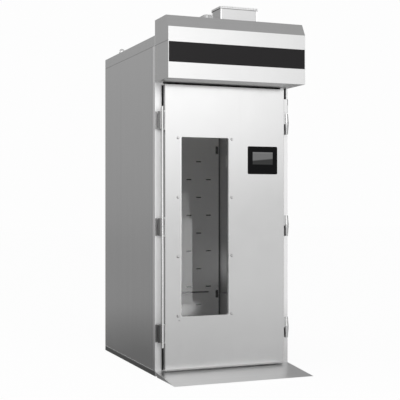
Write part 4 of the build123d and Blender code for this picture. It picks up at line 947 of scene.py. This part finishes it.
bm = bmesh.new()
for x in SCREW_COLUMNS:
    for z in SCREW_LEVELS:
        centre = Vector((x, DOOR_FACE, z)) + SHADOW_OFFSET
        section = bmesh.ops.create_circle(bm, segments=10, radius=RING_HALF,
                                          matrix=Matrix.Translation(centre + Vector((RING_RADIUS, 0, 0))))
        rim = {edge for vert in section["verts"] for edge in vert.link_edges}
        bmesh.ops.spin(bm, geom=list(rim), cent=centre, axis=(0, 1, 0), angle=2 * pi, steps=28,
                       use_merge=True)
plug_foot = (PLUG_PLACE[0], DOOR_FACE + 0.0004, PLUG_PLACE[1])
plug_head = (PLUG_PLACE[0], DOOR_FACE - 0.0006, PLUG_PLACE[1])
rod(bm, plug_foot, plug_head, PLUG_RADIUS)
bmesh.ops.remove_doubles(bm, verts=bm.verts, dist=1e-6)
screw_shadows_and_plug = finish_piece(bm, "screw_shadows_and_plug", rubber_and_painted_shade, "door", smooth=True)

# %% [markdown]
# ## Painted shade over the door
#
# A black strip across the gap between the door's top edge and the canopy is painted shade for the
# deep shadow in that gap. It is a flange with two lips, so its section is stepped with two rods let
# into a flat strip.

# %% Header seal
HEADER_FACE = -0.605
HEADER_SHADE_HALF = 0.4395

bm = bmesh.new()
plate(bm, (-HEADER_SHADE_HALF, HEADER_FACE - 0.0025, 1.9770), (HEADER_SHADE_HALF, HEADER_FACE, 1.9835), edge=0.0008)
for level in (1.9786, 1.9818):
    rod(bm, (-HEADER_SHADE_HALF, HEADER_FACE - 0.0028, level), (HEADER_SHADE_HALF, HEADER_FACE - 0.0028, level), 0.0019)
header_gap_shade = finish_piece(bm, "header_gap_shade", rubber_and_painted_shade, "cabinet")

# %% [markdown]
# ## Painted shade on the stiles
#
# Just outside the gasket each stile carries a flat black strip that the door's edge faces. It is
# painted shade: it makes the dark upright line of the gap beside the door. A plain thin strip with
# softened edges does.

# %% Stile strips
STRIP_X = (0.4415, 0.4530)
STRIP_Z = (0.0370, 1.9660)

bm = bmesh.new()
for side in (-1, 1):
    near, far = sorted((side * STRIP_X[0], side * STRIP_X[1]))
    plate(bm, (near, HEADER_FACE - 0.0012, STRIP_Z[0]), (far, HEADER_FACE, STRIP_Z[1]))
stile_gap_shade = finish_piece(bm, "stile_gap_shade", rubber_and_painted_shade, "cabinet")

# %% [markdown]
# ## The door's cable
#
# The screen's cable leaves the elbow beside the top hinge and runs up behind the canopy in ribbed
# conduit. A ribbed tube is a circle pulled upwards in short steps, wider and narrower in turn.

# %% Cable riser
RISER_PLACE = (0.4775, -0.6125)
RISER_SPAN = (1.9035, 1.9838)
RISER_WIDE, RISER_NARROW = 0.0062, 0.0050
RIB_STEP = 0.0022

bm = bmesh.new()
bmesh.ops.create_circle(bm, cap_ends=True, segments=24, radius=RISER_WIDE,
                        matrix=Matrix.Translation((*RISER_PLACE, RISER_SPAN[0])))
top_face = bm.faces[:][0]
axis_point = Vector((*RISER_PLACE, 0.0))
steps = int((RISER_SPAN[1] - RISER_SPAN[0]) / RIB_STEP)
wide = True
for step in range(steps):
    pulled = bmesh.ops.extrude_face_region(bm, geom=[top_face])["geom"]
    rim = [item for item in pulled if isinstance(item, bmesh.types.BMVert)]
    if step:
        bmesh.ops.delete(bm, geom=[top_face], context="FACES_ONLY")
    top_face = next(item for item in pulled if isinstance(item, bmesh.types.BMFace))
    bmesh.ops.translate(bm, verts=rim, vec=(0, 0, RIB_STEP))
    if step % 2:
        wide = not wide
        ratio = RISER_WIDE / RISER_NARROW if wide else RISER_NARROW / RISER_WIDE
        bmesh.ops.scale(bm, verts=rim, vec=(ratio, ratio, 1.0), space=Matrix.Translation(-axis_point))
cable_riser = finish_piece(bm, "cable_riser", black_plastic, "cabinet")

# %% [markdown]
# ## Corners of the air outlet
#
# The outlet's sheet is folded at its upright corners, and the folds catch the light as a bright
# line. Each is an angle strip with a softened outer edge, laid over the corner of the box.

# %% Outlet corners
OUTLET_X = (-0.0015, 0.2815)
OUTLET_Y = (-0.5645, -0.4035)
OUTLET_Z = (2.3025, 2.5320)
LEG, SKIN = 0.0090, 0.0008

# A brighter, smoother copy of the outlet's steel, so the bright line is partly a painted highlight.
edge_steel = steel("edge_steel", 0.88, VERTICAL, rough=0.14, spread=0.02)
bm = bmesh.new()
for x, x_way in ((OUTLET_X[0], 1), (OUTLET_X[1], -1)):
    for y, y_way in ((OUTLET_Y[0], 1), (OUTLET_Y[1], -1)):
        corner = (x - x_way * SKIN, y - y_way * SKIN)
        for reach in ((LEG, SKIN), (SKIN, LEG)):
            far = (corner[0] + x_way * reach[0], corner[1] + y_way * reach[1])
            plate(bm, (min(corner[0], far[0]), min(corner[1], far[1]), OUTLET_Z[0]),
                  (max(corner[0], far[0]), max(corner[1], far[1]), OUTLET_Z[1]), edge=0.0003)
outlet_corners = finish_piece(bm, "outlet_corners", edge_steel, "cabinet")

# %% [markdown]
# ## Painted shade under the outlet's cap
#
# A thin frame lies between the box and its cap. It is painted shade for the gap there: grey from
# the front and a dark line on the left. It is a frame laid flat.

# %% Cap shade frame
REVEAL_SHADE_OUT = 0.0014

cap_reveal_shade = moulded("cap_reveal_shade", (0.34, 0.34, 0.34), 0.6, shine=0.3)
tree = cap_reveal_shade.node_tree
shader = tree.nodes["Principled BSDF"]
# Painted shade: the frame's left side is much darker than its front.
sides = add_node(tree, "ShaderNodeGroup", node_tree=side_group)
front_grey = shader.inputs["Base Color"].links[0].from_socket
tree.links.new(mix_colour(tree, sides.outputs["Left"], front_grey, grey(0.03)), shader.inputs["Base Color"])
bm = bmesh.new()
low = (OUTLET_X[0] - REVEAL_SHADE_OUT, OUTLET_Y[0] - REVEAL_SHADE_OUT)
high = (OUTLET_X[1] + REVEAL_SHADE_OUT, OUTLET_Y[1] + REVEAL_SHADE_OUT)
for (x0, x1), (y0, y1) in (
    ((low[0], high[0]), (low[1], low[1] + 0.0014)),
    ((low[0], high[0]), (high[1] - 0.0014, high[1])),
    ((low[0], low[0] + 0.0014), (low[1], high[1])),
    ((high[0] - 0.0014, high[0]), (low[1], high[1])),
):
    plate(bm, (x0, y0, 2.5270), (x1, y1, 2.5318), edge=0.0003)
cap_reveal_shade_frame = finish_piece(bm, "cap_reveal_shade_frame", cap_reveal_shade, "cabinet")

# %% [markdown]
# ## Painted shade in the duct panel's gaps
#
# The duct panel stands a few millimetres clear of the walls, and a black strip over each gap is
# painted shade: through the window it is the sharp dark line in the far corner. The four hangers
# sit on pads of the same black, also painted shade.

# %% Duct gap shade
PANEL_FACE = 0.5000
DUCT_GAP_SHADE_X = (0.4305, 0.4396)
DUCT_GAP_SHADE_Z = (0.0360, 1.9490)
HANGER_SHADE_X, HANGER_SHADE_HALF = 0.4150, (0.0120, 0.0310)
HANGER_SHADE_LEVELS = (0.4220, 1.5970)

bm = bmesh.new()
for side in (-1, 1):
    near, far = sorted((side * DUCT_GAP_SHADE_X[0], side * DUCT_GAP_SHADE_X[1]))
    plate(bm, (near, PANEL_FACE - 0.0030, DUCT_GAP_SHADE_Z[0]), (far, PANEL_FACE - 0.0001, DUCT_GAP_SHADE_Z[1]))
    for level in HANGER_SHADE_LEVELS:
        plate(bm, (side * HANGER_SHADE_X - HANGER_SHADE_HALF[0], PANEL_FACE - 0.0020, level - HANGER_SHADE_HALF[1]),
              (side * HANGER_SHADE_X + HANGER_SHADE_HALF[0], PANEL_FACE - 0.0001, level + HANGER_SHADE_HALF[1]))
duct_gap_shade = finish_piece(bm, "duct_gap_shade", rubber_and_painted_shade, "cabinet")

# %% [markdown]
# ## A clip on the actuator's housing
#
# The lid of the housing is held by a bright spring clip near its upper right corner. It is a narrow
# strip with a thicker head.

# %% Actuator clip
HOUSING_FACE = -0.554

bm = bmesh.new()
plate(bm, (-0.1030, HOUSING_FACE - 0.0012, 2.4420), (-0.0950, HOUSING_FACE, 2.4780), edge=0.0005)
plate(bm, (-0.1030, HOUSING_FACE - 0.0022, 2.4700), (-0.0950, HOUSING_FACE, 2.4760), edge=0.0008)
actuator_clip = finish_piece(bm, "actuator_clip", small_steel, "cabinet")

# %% [markdown]
#
# The dressed model has to fill the same box as the solids. The box of the dressed model is printed.

# %% Print the dressed box
low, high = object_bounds()
print("visual box", low, high)
